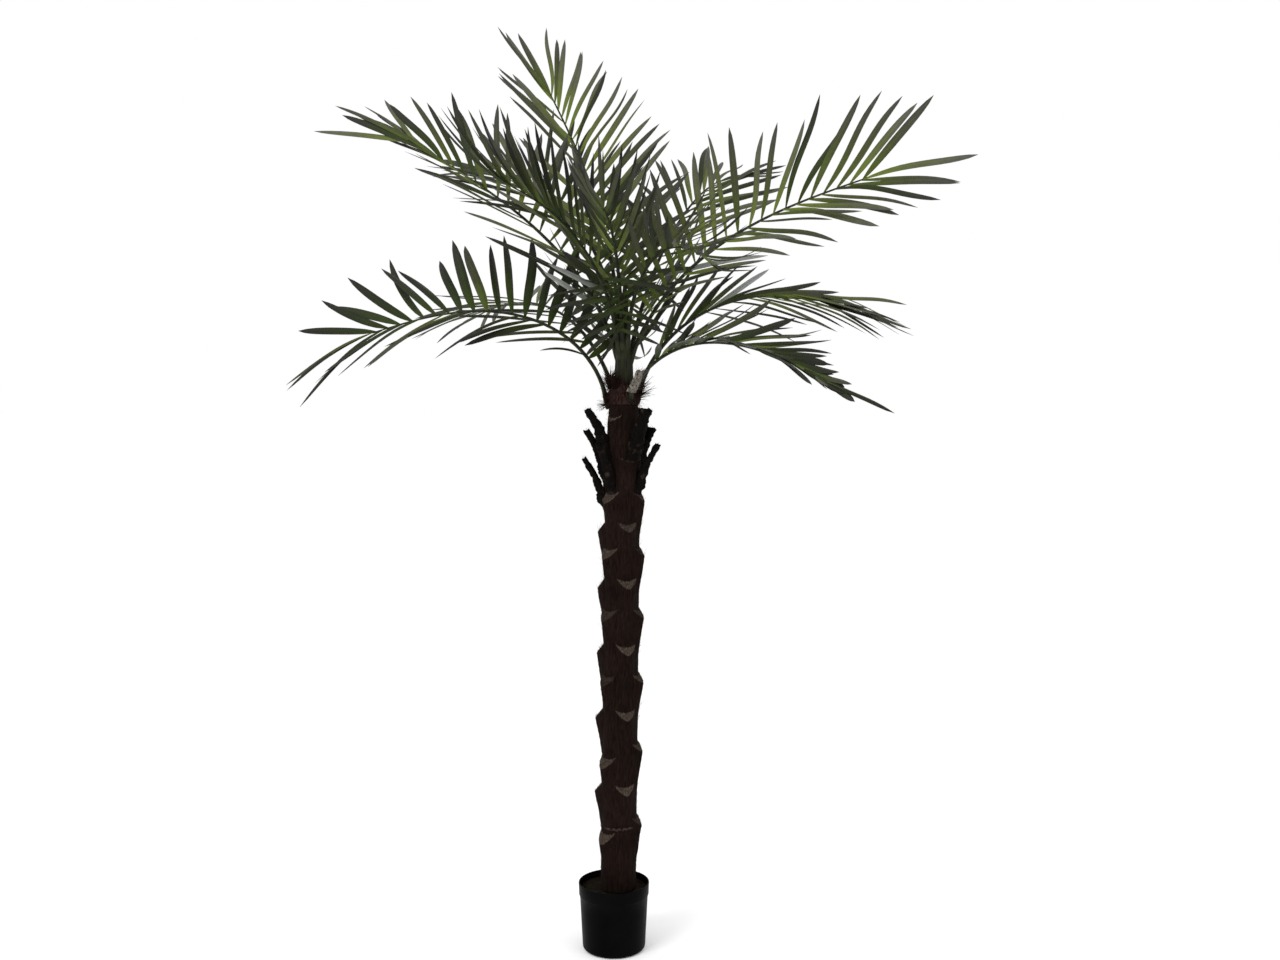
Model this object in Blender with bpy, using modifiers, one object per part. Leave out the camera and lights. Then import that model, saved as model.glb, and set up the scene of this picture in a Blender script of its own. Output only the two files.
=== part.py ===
"""Artificial kentia palm, 2.1 m tall, in a 16 cm plastic nursery pot.

The pot holds a cast filler. A slim fibre-wrapped trunk stands on it and leans a little to +X, with rings of
leaf-base pads up its length, cut leaf stubs under its head, and a fibre collar round the crown shaft. Thirteen
feather fronds rise from the shaft and the collar and arch outwards on every side. The origin is the centre of
the pot's flat underside, and +Z is up.
"""

import math
import random
from collections import namedtuple

import bmesh
import bpy
from mathutils import Matrix, Vector
from mathutils.bvhtree import BVHTree

# Clearance between pieces that rest on each other, and how far a stalk may be pressed in to its seat
GAP = 0.0003
PRESS_LIMIT = 0.008
PRESS_HALVINGS = 12

# Faces that meet at less than this many degrees are shaded as one round surface
SMOOTH_BELOW = 40.0

# Pot: a turned shell with a raised band under its rim
POT_HEIGHT = 0.154
POT_RIM_RADIUS = 0.080
POT_MOUTH_RADIUS = 0.0762
POT_FOOT_RADIUS = 0.0705
POT_FOOT_ROUND = 0.009
POT_BAND_HEIGHT = 0.028
POT_BAND_STEP = 0.0010
POT_LIP_WIDTH = 0.0032
POT_LIP_ROUND = 0.0010
POT_WALL = 0.0022
POT_INNER_ROUND = 0.0035
POT_INNER_RISE = 0.008
POT_SIDES = 36

# Filler: cast into the pot, a little under the rim
FILLER_TOP = 0.140
FILLER_EDGE = 0.002
FILLER_SIDES = 24

# Trunk: foot on the filler, leaning to +X by LEAN metres for each metre of height
TRUNK_FOOT_X = 0.010
LEAN = 0.0118
TRUNK_FOOT = FILLER_TOP + GAP
TRUNK_TOP = 1.238
TRUNK_RADII = (
    (TRUNK_FOOT, 0.0400),
    (0.60, 0.0398),
    (1.03, 0.0384),
    (1.10, 0.0372),
    (1.18, 0.0352),
    (TRUNK_TOP, 0.0325),
)
TRUNK_SIDES = 18

# Leaf-base pads: three to a ring, every other ring turned, and the right-hand one of two rings set higher
PAD_RING_TOPS = (1.041, 0.974, 0.917, 0.848, 0.779, 0.700, 0.632, 0.552, 0.445, 0.382, 0.272)
PAD_RAISED = {8: 0.030, 10: 0.034}
PADS_PER_RING = 3
PAD_FIRST_ANGLE = -137.0
PAD_RING_TURN = 67.0
PAD_REACH = 0.0135
PAD_SUNK = 0.0020
PAD_ROWS = (
    # how far under the top, share of the reach, half the width
    (0.0, 0.0, 0.025),
    (0.0175, 1.0, 0.027),
    (0.060, 0.57, 0.022),
    (0.115, 0.0, 0.010),
)
PAD_SECTION = (
    # place across the pad, share of the height of its keel
    (-1.0, 0.0),
    (-0.5, 0.56),
    (0.0, 1.0),
    (0.5, 0.56),
    (1.0, 0.0),
)

# Cut stubs: black leaf stalks under the collar, at both sides and behind, none in front
STUBS = (
    # azimuth, height of the foot
    (-170, 1.022),
    (166, 1.082),
    (-160, 1.130),
    (-130, 1.058),
    (-24, 1.054),
    (40, 1.086),
    (-50, 1.130),
    (62, 1.034),
    (66, 1.128),
    (84, 1.066),
    (108, 1.118),
    (138, 1.040),
)
STUB_RADIUS = 0.0082
STUB_BODY = ((0.0, 0.0), (0.003, 0.026), (0.019, 0.061), (0.043, 0.097))
STUB_TAPER = (1.0, 1.0, 0.9, 0.8)

# Collar: a sleeve of fibre round the foot of the crown shaft
COLLAR_BOTTOM = TRUNK_TOP + GAP
COLLAR_TOP = 1.300
COLLAR_RADIUS = 0.0345
COLLAR_WALL = 0.0045
COLLAR_WAIST = 0.0025
COLLAR_FLARE = 0.0010
COLLAR_SIDES = 16

# Crown shaft: the bundled leaf stalks in the middle of the head
SHAFT_BOTTOM = TRUNK_TOP + GAP
SHAFT_RADII = ((SHAFT_BOTTOM, 0.0200), (1.30, 0.0160), (1.36, 0.0130), (1.43, 0.0100), (1.50, 0.0040))
SHAFT_SIDES = 12

# Fronds. azimuth is the way a frond goes, from +X towards +Y; seat is its angle on the shaft; rise and tip are the
# slope of its rib at the foot and at the end, bend is how early it arches, and roll turns its blade about the rib.
# spread is the angle of the lowest leaflets to the rib, sweep is how much smaller it is at the tip, and lean how
# much larger it is on the left. lift is how far leaflets stand up out of the blade, leaflet how long they are.
Frond = namedtuple("Frond", "azimuth seat height rise tip bend roll spread sweep lean lift length leaflet")
FRONDS = (
    # azimuth, seat, height, rise, tip, bend, roll, spread, sweep, lean, lift, length, leaflet
    Frond(122, 112, 1.345, 89, 48, 1.8, -17, 59, 43, -4, 26, 0.72, 0.248),
    Frond(156, 170, 1.352, 73, 30, 2.3, -43, 50, 70, -9, 22, 0.75, 0.246),
    Frond(176, 180, 1.25, 80, -17, 1.9, -38, 60, 44, -12, 8, 0.62, 0.205),
    Frond(-21, -14, 1.345, 70, 16, 1.8, 64, 69, 38, 2, 25, 0.65, 0.239),
    Frond(22, 24, 1.262, 76, -1, 1.8, 31, 46, 60, -21, 3, 0.56, 0.229),
    Frond(-40, -62, 1.268, 56, -22, 1.9, 13, 48, 50, 0, 46, 0.52, 0.185),
    Frond(56, 40, 1.35, 70, 14, 0.7, 20, 65, 63, 1, 9, 0.6, 0.265),
    Frond(136, 142, 1.375, 86, 16, 1.3, -31, 68, 56, -6, 17, 0.59, 0.265),
    Frond(125, 125, 1.262, 61, -8, 1.5, -12, 72, 56, 6, 14, 0.66, 0.271),
    Frond(-66, -64, 1.375, 86, -22, 1.5, 15, 58, 44, 0, 14, 0.50, 0.18),
    Frond(-96, -104, 1.370, 84, 6, 1.3, 0, 56, 44, 0, 16, 0.44, 0.18),
    Frond(-128, -130, 1.350, 84, 14, 1.3, -5, 58, 44, 0, 16, 0.50, 0.20),
    Frond(90, 76, 1.262, 74, -24, 1.8, -11, 68, 55, -3, 29, 0.62, 0.268),
)
RIB_POINTS = 13
RIB_FOOT_RADIUS = 0.0050
RIB_TIP_RADIUS = 0.0014
RIB_TAPER = 1.4

# Leaflets: pairs along the rib, from the bare stalk to the tip
BARE_STALK = 0.100
LEAFLET_PAIRS = 17
LEAFLET_WIDTH = 0.022
LEAFLET_THICKNESS = 0.0028
LEAFLET_BELT = 0.40
LEAFLET_DROOP = 0.12
LEAFLET_SUNK = 0.001
SHORT_AT_FOOT = 0.6
LEAFLET_STAGGER = 0.25
ANGLE_JITTER = 5.0
LIFT_JITTER = 8.0
LENGTH_RANGE = (0.92, 1.06)
LEAFLET_MARGIN = 0.0012
LEAFLET_SWINGS = (
    # change of angle, change of lift, share of the length
    (0, 0, 1.0),
    (0, 14, 1.0),
    (0, -14, 1.0),
    (-14, 0, 1.0),
    (8, 0, 0.85),
    (0, 24, 0.70),
    (-24, 0, 0.55),
)

# Sheath: the wide fibrous foot of the frond that leaves the front of the collar
SHEATH_FROND = 5
SHEATH_LENGTH = 0.064
SHEATH_WIDTHS = (0.025, 0.016)
SHEATH_THICKNESS = 0.0020
SHEATH_STEPS = 5
SHEATH_GAP = 0.0006
SHEATH_LEAN = 0.020


def clear_scene():
    """Removes whatever objects the opened file holds."""
    for old in list(bpy.data.objects):
        bpy.data.objects.remove(old, do_unlink=True)


def finish_of(name, colour, roughness):
    """A plain painted or moulded finish."""
    made = bpy.data.materials.new(name)
    made.use_nodes = True
    shader = made.node_tree.nodes["Principled BSDF"]
    shader.inputs["Base Color"].default_value = (*colour, 1.0)
    shader.inputs["Roughness"].default_value = roughness
    shader.inputs["Metallic"].default_value = 0.0
    return made


def add_object(name, data, finish, collection):
    """A new object for one piece."""
    made = bpy.data.objects.new(name, data)
    collection.objects.link(made)
    if finish is not None:
        data.materials.clear()
        data.materials.append(finish)
    return made


def turned(name, profile, sides, finish, collection, closed=False):
    """A profile of (radius, height) points, turned about +Z; a closed one makes a ring."""
    mesh = bpy.data.meshes.new(name)
    count = len(profile)
    edges = [(i, i + 1) for i in range(count - 1)]
    if closed:
        edges.append((count - 1, 0))
    mesh.from_pydata([(r, 0.0, z) for r, z in profile], edges, [])
    made = add_object(name, mesh, finish, collection)
    screw = made.modifiers.new("Turn", "SCREW")
    screw.axis = "Z"
    screw.steps = sides
    screw.render_steps = sides
    screw.use_merge_vertices = True
    screw.merge_threshold = 0.00001
    return made


def apply_modifiers(made, matrix=None):
    """Turns an object's evaluated shape into its own mesh, moved by a matrix."""
    bpy.context.view_layer.update()
    evaluated = made.evaluated_get(bpy.context.evaluated_depsgraph_get())
    mesh = bpy.data.meshes.new_from_object(evaluated)
    if matrix is not None:
        mesh.transform(matrix)
    made.modifiers.clear()
    made.data = mesh
    return made


def tube(name, points, radii, resolution, finish, collection):
    """A round bar through the points, closed at both ends, as a mesh."""
    curve = bpy.data.curves.new(name, "CURVE")
    curve.dimensions = "3D"
    curve.bevel_depth = radii[0]
    curve.bevel_resolution = resolution
    curve.use_fill_caps = True
    curve.twist_mode = "MINIMUM"
    spline = curve.splines.new("POLY")
    spline.points.add(len(points) - 1)
    for place, point, radius in zip(spline.points, points, radii):
        place.co = (*point, 1.0)
        place.radius = radius / radii[0]
    bent = bpy.data.objects.new(name + "_path", curve)
    collection.objects.link(bent)
    bpy.context.view_layer.update()
    evaluated = bent.evaluated_get(bpy.context.evaluated_depsgraph_get())
    mesh = bpy.data.meshes.new_from_object(evaluated)
    mesh.name = name
    mesh.transform(bent.matrix_world)
    bpy.data.objects.remove(bent, do_unlink=True)
    bpy.data.curves.remove(curve)
    bm = bmesh.new()
    bm.from_mesh(mesh)
    bmesh.ops.remove_doubles(bm, verts=bm.verts, dist=0.00001)
    bmesh.ops.recalc_face_normals(bm, faces=bm.faces)
    bm.to_mesh(mesh)
    bm.free()
    return add_object(name, mesh, finish, collection)


def tree_of(made, shift=None):
    """A search tree of a piece's triangles, moved by a shift."""
    bm = bmesh.new()
    bm.from_mesh(made.data)
    if shift is not None:
        bmesh.ops.translate(bm, verts=bm.verts, vec=shift)
    tree = BVHTree.FromBMesh(bm)
    bm.free()
    return tree


def press_in(made, inward, carriers):
    """Slides a piece towards what carries it until it is GAP short of touching, and returns the slide."""
    near = 0.0
    far = PRESS_LIMIT
    for _ in range(PRESS_HALVINGS):
        middle = (near + far) / 2
        moved = tree_of(made, inward * middle)
        if any(moved.overlap(carrier) for carrier in carriers):
            far = middle
        else:
            near = middle
    slide = inward * (near - GAP)
    made.data.transform(Matrix.Translation(slide))
    return slide


def keep_largest_body(mesh):
    """Drops scraps and sealed hollows that a union leaves beside the one body."""
    bm = bmesh.new()
    bm.from_mesh(mesh)
    bmesh.ops.remove_doubles(bm, verts=bm.verts, dist=0.000002)
    bmesh.ops.dissolve_degenerate(bm, edges=bm.edges, dist=0.000002)
    unseen = set(bm.faces)
    bodies = []
    while unseen:
        body = []
        front = [unseen.pop()]
        while front:
            face = front.pop()
            body.append(face)
            for edge in face.edges:
                for other in edge.link_faces:
                    if other in unseen:
                        unseen.remove(other)
                        front.append(other)
        bodies.append(body)
    bodies.sort(key=len, reverse=True)
    for scrap in bodies[1:]:
        bmesh.ops.delete(bm, geom=scrap, context="FACES")
    bmesh.ops.triangulate(bm, faces=bm.faces)
    bm.to_mesh(mesh)
    bm.free()


def fuse(base, group, solver="EXACT"):
    """Joins the collection's solids to the base as one body, and removes them."""
    union = base.modifiers.new("Fuse", "BOOLEAN")
    union.operation = "UNION"
    union.operand_type = "COLLECTION"
    union.collection = group
    union.solver = solver
    apply_modifiers(base)
    for used in list(group.objects):
        bpy.data.objects.remove(used, do_unlink=True)
    bpy.data.collections.remove(group)
    keep_largest_body(base.data)
    return base


def radius_at(height, radii):
    """The radius of a turned limb at a height, between its named sections."""
    for (z0, r0), (z1, r1) in zip(radii, radii[1:]):
        if height <= z1:
            share = max(0.0, (height - z0) / (z1 - z0))
            return r0 + (r1 - r0) * share
    return radii[-1][1]


def axis_point(height):
    """The point of the leaning trunk's axis at a height."""
    return Vector((TRUNK_FOOT_X + LEAN * (height - TRUNK_FOOT), 0.0, height))


def leaning():
    """Moves a piece made upright about +Z onto the leaning axis; its flat cuts stay level."""
    offset = Matrix.Translation((TRUNK_FOOT_X - LEAN * TRUNK_FOOT, 0.0, 0.0))
    return offset @ Matrix.Shear("XY", 4, (LEAN, 0.0))


def make_pot(finish, collection):
    """The pot's shell: inner floor, inner wall, rim, raised band, tapering wall and rounded foot."""
    band_bottom = POT_HEIGHT - POT_BAND_HEIGHT
    inner_foot = POT_FOOT_RADIUS - POT_WALL - POT_INNER_ROUND
    rounding = []
    for step in range(4):
        angle = math.radians(90.0 * step / 3)
        across = POT_FOOT_RADIUS - POT_FOOT_ROUND * (1 - math.cos(angle))
        rounding.append((across, POT_FOOT_ROUND * (1 - math.sin(angle))))
    profile = [(0.0, POT_WALL), (inner_foot, POT_WALL), (inner_foot + POT_INNER_ROUND, POT_INNER_RISE)]
    profile.append((POT_MOUTH_RADIUS - POT_WALL, band_bottom))
    profile.append((POT_RIM_RADIUS - POT_LIP_WIDTH, POT_HEIGHT - POT_LIP_ROUND))
    profile.append((POT_RIM_RADIUS - POT_LIP_WIDTH + POT_LIP_ROUND, POT_HEIGHT))
    profile.append((POT_RIM_RADIUS - POT_LIP_ROUND, POT_HEIGHT))
    profile.append((POT_RIM_RADIUS, POT_HEIGHT - POT_LIP_ROUND))
    profile.append((POT_RIM_RADIUS - POT_BAND_STEP, band_bottom))
    profile.append((POT_MOUTH_RADIUS, band_bottom - POT_BAND_STEP))
    profile += rounding
    profile.append((0.0, 0.0))
    return turned("pot", profile, POT_SIDES, finish, collection)


def make_filler(finish, collection):
    """The cast filler: it follows the pot's inner wall and is flat on top under the trunk."""
    foot = POT_FOOT_RADIUS - POT_WALL - 2 * GAP
    band_bottom = POT_HEIGHT - POT_BAND_HEIGHT
    wall = POT_MOUTH_RADIUS - POT_WALL - 2 * GAP
    profile = [(0.0, FILLER_TOP), (wall - FILLER_EDGE / 2, FILLER_TOP), (wall, FILLER_TOP - FILLER_EDGE)]
    profile += [(wall, band_bottom), (foot, POT_INNER_RISE + 2 * GAP)]
    profile += [(foot - POT_INNER_ROUND - GAP, POT_WALL + GAP), (0.0, POT_WALL + GAP)]
    return turned("filler", profile, FILLER_SIDES, finish, collection)


def make_pad(name, ring_top, angle, collection):
    """One leaf base: a keeled lump that slopes out from its cut top, then tapers away down the trunk."""
    bm = bmesh.new()
    for drop, out, half in PAD_ROWS:
        height = ring_top - drop
        core = radius_at(height, TRUNK_RADII)
        for place, keel in PAD_SECTION:
            reach = core - PAD_SUNK + (PAD_SUNK + PAD_REACH * out) * keel
            turn = half * place / core
            bm.verts.new((reach * math.cos(turn), reach * math.sin(turn), height))
            if keel == 0.0:
                bm.verts.new((core * 0.7, half * place * 0.6, height))
    hull = bmesh.ops.convex_hull(bm, input=bm.verts)
    unused = set(hull["geom_interior"] + hull["geom_unused"])
    bmesh.ops.delete(bm, geom=[part for part in unused if isinstance(part, bmesh.types.BMVert)], context="VERTS")
    bmesh.ops.recalc_face_normals(bm, faces=bm.faces)
    mesh = bpy.data.meshes.new(name)
    bm.to_mesh(mesh)
    bm.free()
    mesh.transform(Matrix.Rotation(math.radians(angle), 4, "Z"))
    return add_object(name, mesh, None, collection)


def make_trunk(finish, collection):
    """The fibre-wrapped pole with its rings of pads, fused and then leaned over."""
    profile = [(0.0, TRUNK_TOP)] + [(r, z) for z, r in reversed(TRUNK_RADII)] + [(0.0, TRUNK_FOOT)]
    core = apply_modifiers(turned("trunk", profile, TRUNK_SIDES, finish, collection))
    pads = bpy.data.collections.new("pads")
    bpy.context.scene.collection.children.link(pads)
    for ring, ring_top in enumerate(PAD_RING_TOPS):
        for place in range(PADS_PER_RING):
            angle = PAD_FIRST_ANGLE + PAD_RING_TURN * (ring % 2) + place * 360.0 / PADS_PER_RING
            raised = PAD_RAISED.get(ring, 0.0) if place == 1 else 0.0
            make_pad(f"pad_{ring}_{place}", ring_top + raised, angle, pads)
    fuse(core, pads)
    core.data.transform(leaning())
    return core


def make_stub(number, carriers, finish, collection):
    """One cut leaf stalk: up along the trunk, then out, with a square end; pressed in against the trunk."""
    azimuth, foot = STUBS[number]
    angle = math.radians(azimuth)
    outward = Vector((math.cos(angle), math.sin(angle), 0.0))
    across = radius_at(foot, TRUNK_RADII) + STUB_RADIUS + PRESS_LIMIT / 2
    points = [axis_point(foot + up) + outward * (across + out) for out, up in STUB_BODY]
    radii = [STUB_RADIUS * share for share in STUB_TAPER]
    made = tube(f"stub_{number + 1:02d}", points, radii, 1, finish, collection)
    press_in(made, -outward, carriers)
    return made


def make_collar(finish, collection):
    """The fibre sleeve: a short turned tube, drawn in at its waist."""
    inner = COLLAR_RADIUS - COLLAR_WALL
    waist = (COLLAR_BOTTOM + COLLAR_TOP) / 2
    outside = [(COLLAR_RADIUS + COLLAR_FLARE, COLLAR_TOP), (COLLAR_RADIUS - COLLAR_WAIST, waist)]
    outside.append((COLLAR_RADIUS, COLLAR_BOTTOM))
    inside = [(inner, COLLAR_BOTTOM), (inner - COLLAR_WAIST, waist), (inner + COLLAR_FLARE, COLLAR_TOP)]
    made = turned("collar", outside + inside, COLLAR_SIDES, finish, collection, closed=True)
    return apply_modifiers(made, leaning())


def make_shaft(finish, collection):
    """The crown shaft: a slim turned spindle that the stalks stand round."""
    top = SHAFT_RADII[-1][0]
    profile = [(0.0, top)] + [(r, z) for z, r in reversed(SHAFT_RADII)] + [(0.0, SHAFT_BOTTOM)]
    made = turned("crown_shaft", profile, SHAFT_SIDES, finish, collection)
    return apply_modifiers(made, leaning())


def seat_radius(frond):
    """How far from the axis a frond's stalk starts: outside the collar, or outside the shaft above it."""
    if frond.height < COLLAR_TOP:
        return COLLAR_RADIUS + RIB_FOOT_RADIUS
    return radius_at(frond.height, SHAFT_RADII) + RIB_FOOT_RADIUS


def rib_direction(frond, share):
    """The rib's direction at a share of its length."""
    slope = math.radians(frond.tip + (frond.rise - frond.tip) * (1.0 - share) ** frond.bend)
    way = math.radians(frond.azimuth)
    return Vector((math.cos(way) * math.cos(slope), math.sin(way) * math.cos(slope), math.sin(slope)))


def rib_points(frond, steps):
    """The rib's points from its seat to its tip, evenly spaced."""
    seat = math.radians(frond.seat)
    place = axis_point(frond.height) + Vector((math.cos(seat), math.sin(seat), 0.0)) * seat_radius(frond)
    points = [place.copy()]
    for step in range(steps):
        place = place + rib_direction(frond, (step + 0.5) / steps) * (frond.length / steps)
        points.append(place.copy())
    return points


def rib_radius(share):
    """The rib's radius at a share of its length: a quick taper off the stalk, then a slim rib."""
    return RIB_TIP_RADIUS + (RIB_FOOT_RADIUS - RIB_TIP_RADIUS) * (1.0 - share) ** RIB_TAPER


def make_rib(number, frond, carriers, finish, collection):
    """The frond's stalk and rib as one tapering bar, pressed in to its seat; returns it and its points."""
    steps = RIB_POINTS - 1
    radii = [rib_radius(step / steps) for step in range(RIB_POINTS)]
    points = rib_points(frond, steps)
    made = tube(f"frond_{number + 1:02d}", points, radii, 0, finish, collection)
    seat = math.radians(frond.seat)
    slide = press_in(made, -Vector((math.cos(seat), math.sin(seat), 0.0)), carriers)
    return made, [point + slide for point in points]


def rib_place(points, share):
    """The point of the rib at a share of its length."""
    along = share * (len(points) - 1)
    index = min(int(along), len(points) - 2)
    return points[index].lerp(points[index + 1], along - index)


def blade_frame(frond, along):
    """The blade's left and up directions at a point of the rib, turned by the frond's roll."""
    way = math.radians(frond.azimuth)
    left = Vector((-math.sin(way), math.cos(way), 0.0))
    up = along.cross(left)
    turn = math.radians(frond.roll)
    return left * math.cos(turn) + up * math.sin(turn), up * math.cos(turn) - left * math.sin(turn)


def leaflet_rows(frond, seed):
    """Each leaflet's share of the rib, its side, its angle to the rib, its lift and its length."""
    chance = random.Random(seed)
    rows = []
    first = BARE_STALK / frond.length
    for pair in range(LEAFLET_PAIRS):
        for side in (-1, 1):
            step = (pair + (LEAFLET_STAGGER if side > 0 else 0.0)) / (LEAFLET_PAIRS - 1 + LEAFLET_STAGGER)
            share = first + (1.0 - first) * step
            angle = frond.spread + side * frond.lean - frond.sweep * share ** 2
            angle += chance.uniform(-ANGLE_JITTER, ANGLE_JITTER)
            lift = frond.lift + chance.uniform(-LIFT_JITTER, LIFT_JITTER)
            length = frond.leaflet * min(1.0, SHORT_AT_FOOT + 3.0 * step) * chance.uniform(*LENGTH_RANGE)
            rows.append((share, side, angle, lift, length))
    rows.append((1.0, 1, 0.0, 0.0, frond.leaflet))
    return rows


def leaflet_solid(root, along, face, length, width, thickness):
    """A leaflet as an eight-faced blade: pointed at both ends, widest near its root, its tip hanging."""
    across = face.cross(along).normalized()
    tip = root + along * length - Vector((0.0, 0.0, LEAFLET_DROOP * length))
    belt = root + along * (length * LEAFLET_BELT)
    bm = bmesh.new()
    bmesh.ops.create_uvsphere(bm, u_segments=4, v_segments=2, radius=1.0)
    for vertex in bm.verts:
        corner = vertex.co.copy()
        if corner.z > 0.5:
            vertex.co = tip
        elif corner.z < -0.5:
            vertex.co = root
        else:
            vertex.co = belt + across * (corner.x * width / 2) + face * (corner.y * thickness / 2)
    bmesh.ops.recalc_face_normals(bm, faces=bm.faces)
    return bm


class Neighbours:
    """What stands already, so that a new leaflet can be kept clear of it."""

    def __init__(self):
        self.solids = []

    def add(self, owner, bm):
        corners = [vertex.co for vertex in bm.verts]
        low = [min(c[i] for c in corners) for i in range(3)]
        high = [max(c[i] for c in corners) for i in range(3)]
        self.solids.append((owner, low, high, BVHTree.FromBMesh(bm)))

    def add_object(self, owner, made):
        bm = bmesh.new()
        bm.from_mesh(made.data)
        self.add(owner, bm)
        bm.free()

    def clear_of(self, owner, bm):
        corners = [vertex.co for vertex in bm.verts]
        low = [min(c[i] for c in corners) for i in range(3)]
        high = [max(c[i] for c in corners) for i in range(3)]
        tree = None
        for other, other_low, other_high, other_tree in self.solids:
            if other == owner:
                continue
            if any(low[i] > other_high[i] or high[i] < other_low[i] for i in range(3)):
                continue
            if tree is None:
                tree = BVHTree.FromBMesh(bm)
            if tree.overlap(other_tree):
                return False
        return True


def make_leaflets(number, frond, points, standing, group):
    """The frond's leaflets: each is swung or shortened until it is clear of the rest, or left out."""
    owner = f"frond_{number + 1:02d}"
    for count, (share, side, angle, lift, length) in enumerate(leaflet_rows(frond, number)):
        along = rib_direction(frond, share)
        left, up = blade_frame(frond, along)
        root = rib_place(points, share) - along * LEAFLET_SUNK
        for swing, raise_by, shorter in LEAFLET_SWINGS:
            turn = math.radians(angle + swing if angle else 0.0)
            rise = math.radians(lift + raise_by)
            outward = left * (side * math.cos(rise)) + up * math.sin(rise)
            way = along * math.cos(turn) + outward * math.sin(turn)
            face = (up * math.cos(rise) - left * (side * math.sin(rise))).normalized()
            margin = leaflet_solid(
                root,
                way,
                face,
                length * shorter + LEAFLET_MARGIN,
                LEAFLET_WIDTH + 2 * LEAFLET_MARGIN,
                LEAFLET_THICKNESS + 2 * LEAFLET_MARGIN,
            )
            clear = standing.clear_of(owner, margin)
            margin.free()
            if not clear:
                continue
            solid = leaflet_solid(root, way, face, length * shorter, LEAFLET_WIDTH, LEAFLET_THICKNESS)
            standing.add(owner, solid)
            mesh = bpy.data.meshes.new(f"{owner}_leaflet_{count}")
            solid.to_mesh(mesh)
            solid.free()
            add_object(mesh.name, mesh, None, group)
            break


def make_sheath(frond, points, finish, collection):
    """The wide papery foot of one frond: a tapering strip under its stalk."""
    way = math.radians(frond.azimuth)
    across = Vector((-math.sin(way), math.cos(way), 0.0))
    bm = bmesh.new()
    rails = []
    for step in range(SHEATH_STEPS + 1):
        done = step / SHEATH_STEPS
        share = done * SHEATH_LENGTH / frond.length
        along = rib_direction(frond, share)
        outward = across.cross(along)
        under = rib_place(points, share) + outward * (rib_radius(share) + SHEATH_GAP + SHEATH_THICKNESS / 2)
        under = under - across * (SHEATH_LEAN * done ** 2)
        half = (SHEATH_WIDTHS[0] + (SHEATH_WIDTHS[1] - SHEATH_WIDTHS[0]) * done) / 2
        rails.append([bm.verts.new(under + across * half * side) for side in (-1, 0, 1)])
    for lower, upper in zip(rails, rails[1:]):
        for side in range(2):
            bm.faces.new((lower[side], lower[side + 1], upper[side + 1], upper[side]))
    bmesh.ops.recalc_face_normals(bm, faces=bm.faces)
    mesh = bpy.data.meshes.new("sheath")
    bm.to_mesh(mesh)
    bm.free()
    made = add_object("sheath", mesh, finish, collection)
    skin = made.modifiers.new("Thickness", "SOLIDIFY")
    skin.thickness = SHEATH_THICKNESS
    skin.offset = 0.0
    return apply_modifiers(made)


def make_palm():
    """Builds every piece and parents it to one empty."""
    clear_scene()
    palm = bpy.data.collections.new("kentia_palm")
    bpy.context.scene.collection.children.link(palm)
    plastic = finish_of("black_plastic", (0.006, 0.006, 0.006), 0.45)
    cast = finish_of("olive_filler", (0.030, 0.022, 0.012), 0.95)
    bark = finish_of("brown_fibre", (0.022, 0.011, 0.008), 0.90)
    stalk = finish_of("black_stalk", (0.010, 0.010, 0.010), 0.80)
    coir = finish_of("red_brown_fibre", (0.040, 0.018, 0.012), 0.95)
    green = finish_of("dark_green_stalk", (0.025, 0.030, 0.014), 0.60)
    leaf = finish_of("green_leaf", (0.050, 0.085, 0.025), 0.50)
    cloth = finish_of("beige_cloth", (0.200, 0.180, 0.140), 0.90)

    make_pot(plastic, palm)
    make_filler(cast, palm)
    trunk = make_trunk(bark, palm)
    collar = make_collar(coir, palm)
    shaft = make_shaft(green, palm)
    standing = Neighbours()
    for made in (trunk, collar, shaft):
        standing.add_object(made.name, made)
    carriers = [tree_of(trunk), tree_of(collar)]
    for number in range(len(STUBS)):
        stub = make_stub(number, carriers, stalk, palm)
        standing.add_object(stub.name, stub)
        carriers.append(tree_of(stub))

    ribs = []
    carriers.append(tree_of(shaft))
    for number, frond in enumerate(FRONDS):
        rib, points = make_rib(number, frond, carriers, leaf, palm)
        ribs.append((rib, points))
        standing.add_object(rib.name, rib)
        carriers.append(tree_of(rib))
    sheath = make_sheath(FRONDS[SHEATH_FROND], ribs[SHEATH_FROND][1], cloth, palm)
    standing.add_object(sheath.name, sheath)
    for number, frond in enumerate(FRONDS):
        rib, points = ribs[number]
        group = bpy.data.collections.new(f"leaflets_{number + 1:02d}")
        bpy.context.scene.collection.children.link(group)
        make_leaflets(number, frond, points, standing, group)
        fuse(rib, group)

    root = bpy.data.objects.new("kentia_palm", None)
    palm.objects.link(root)
    for piece in palm.objects:
        if piece != root:
            piece.data.shade_smooth()
            piece.data.set_sharp_from_angle(angle=math.radians(SMOOTH_BELOW))
            piece.parent = root
    bpy.context.view_layer.update()


make_palm()
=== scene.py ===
"""Artificial kentia palm, 2.1 m tall, in a black nursery pot: the looks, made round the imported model."""

import random
from collections import namedtuple
from math import cos, exp, pi, radians, sin, sqrt, tan

import bpy
from mathutils import Matrix, Vector
from mathutils.bvhtree import BVHTree
from mathutils.noise import noise


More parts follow.
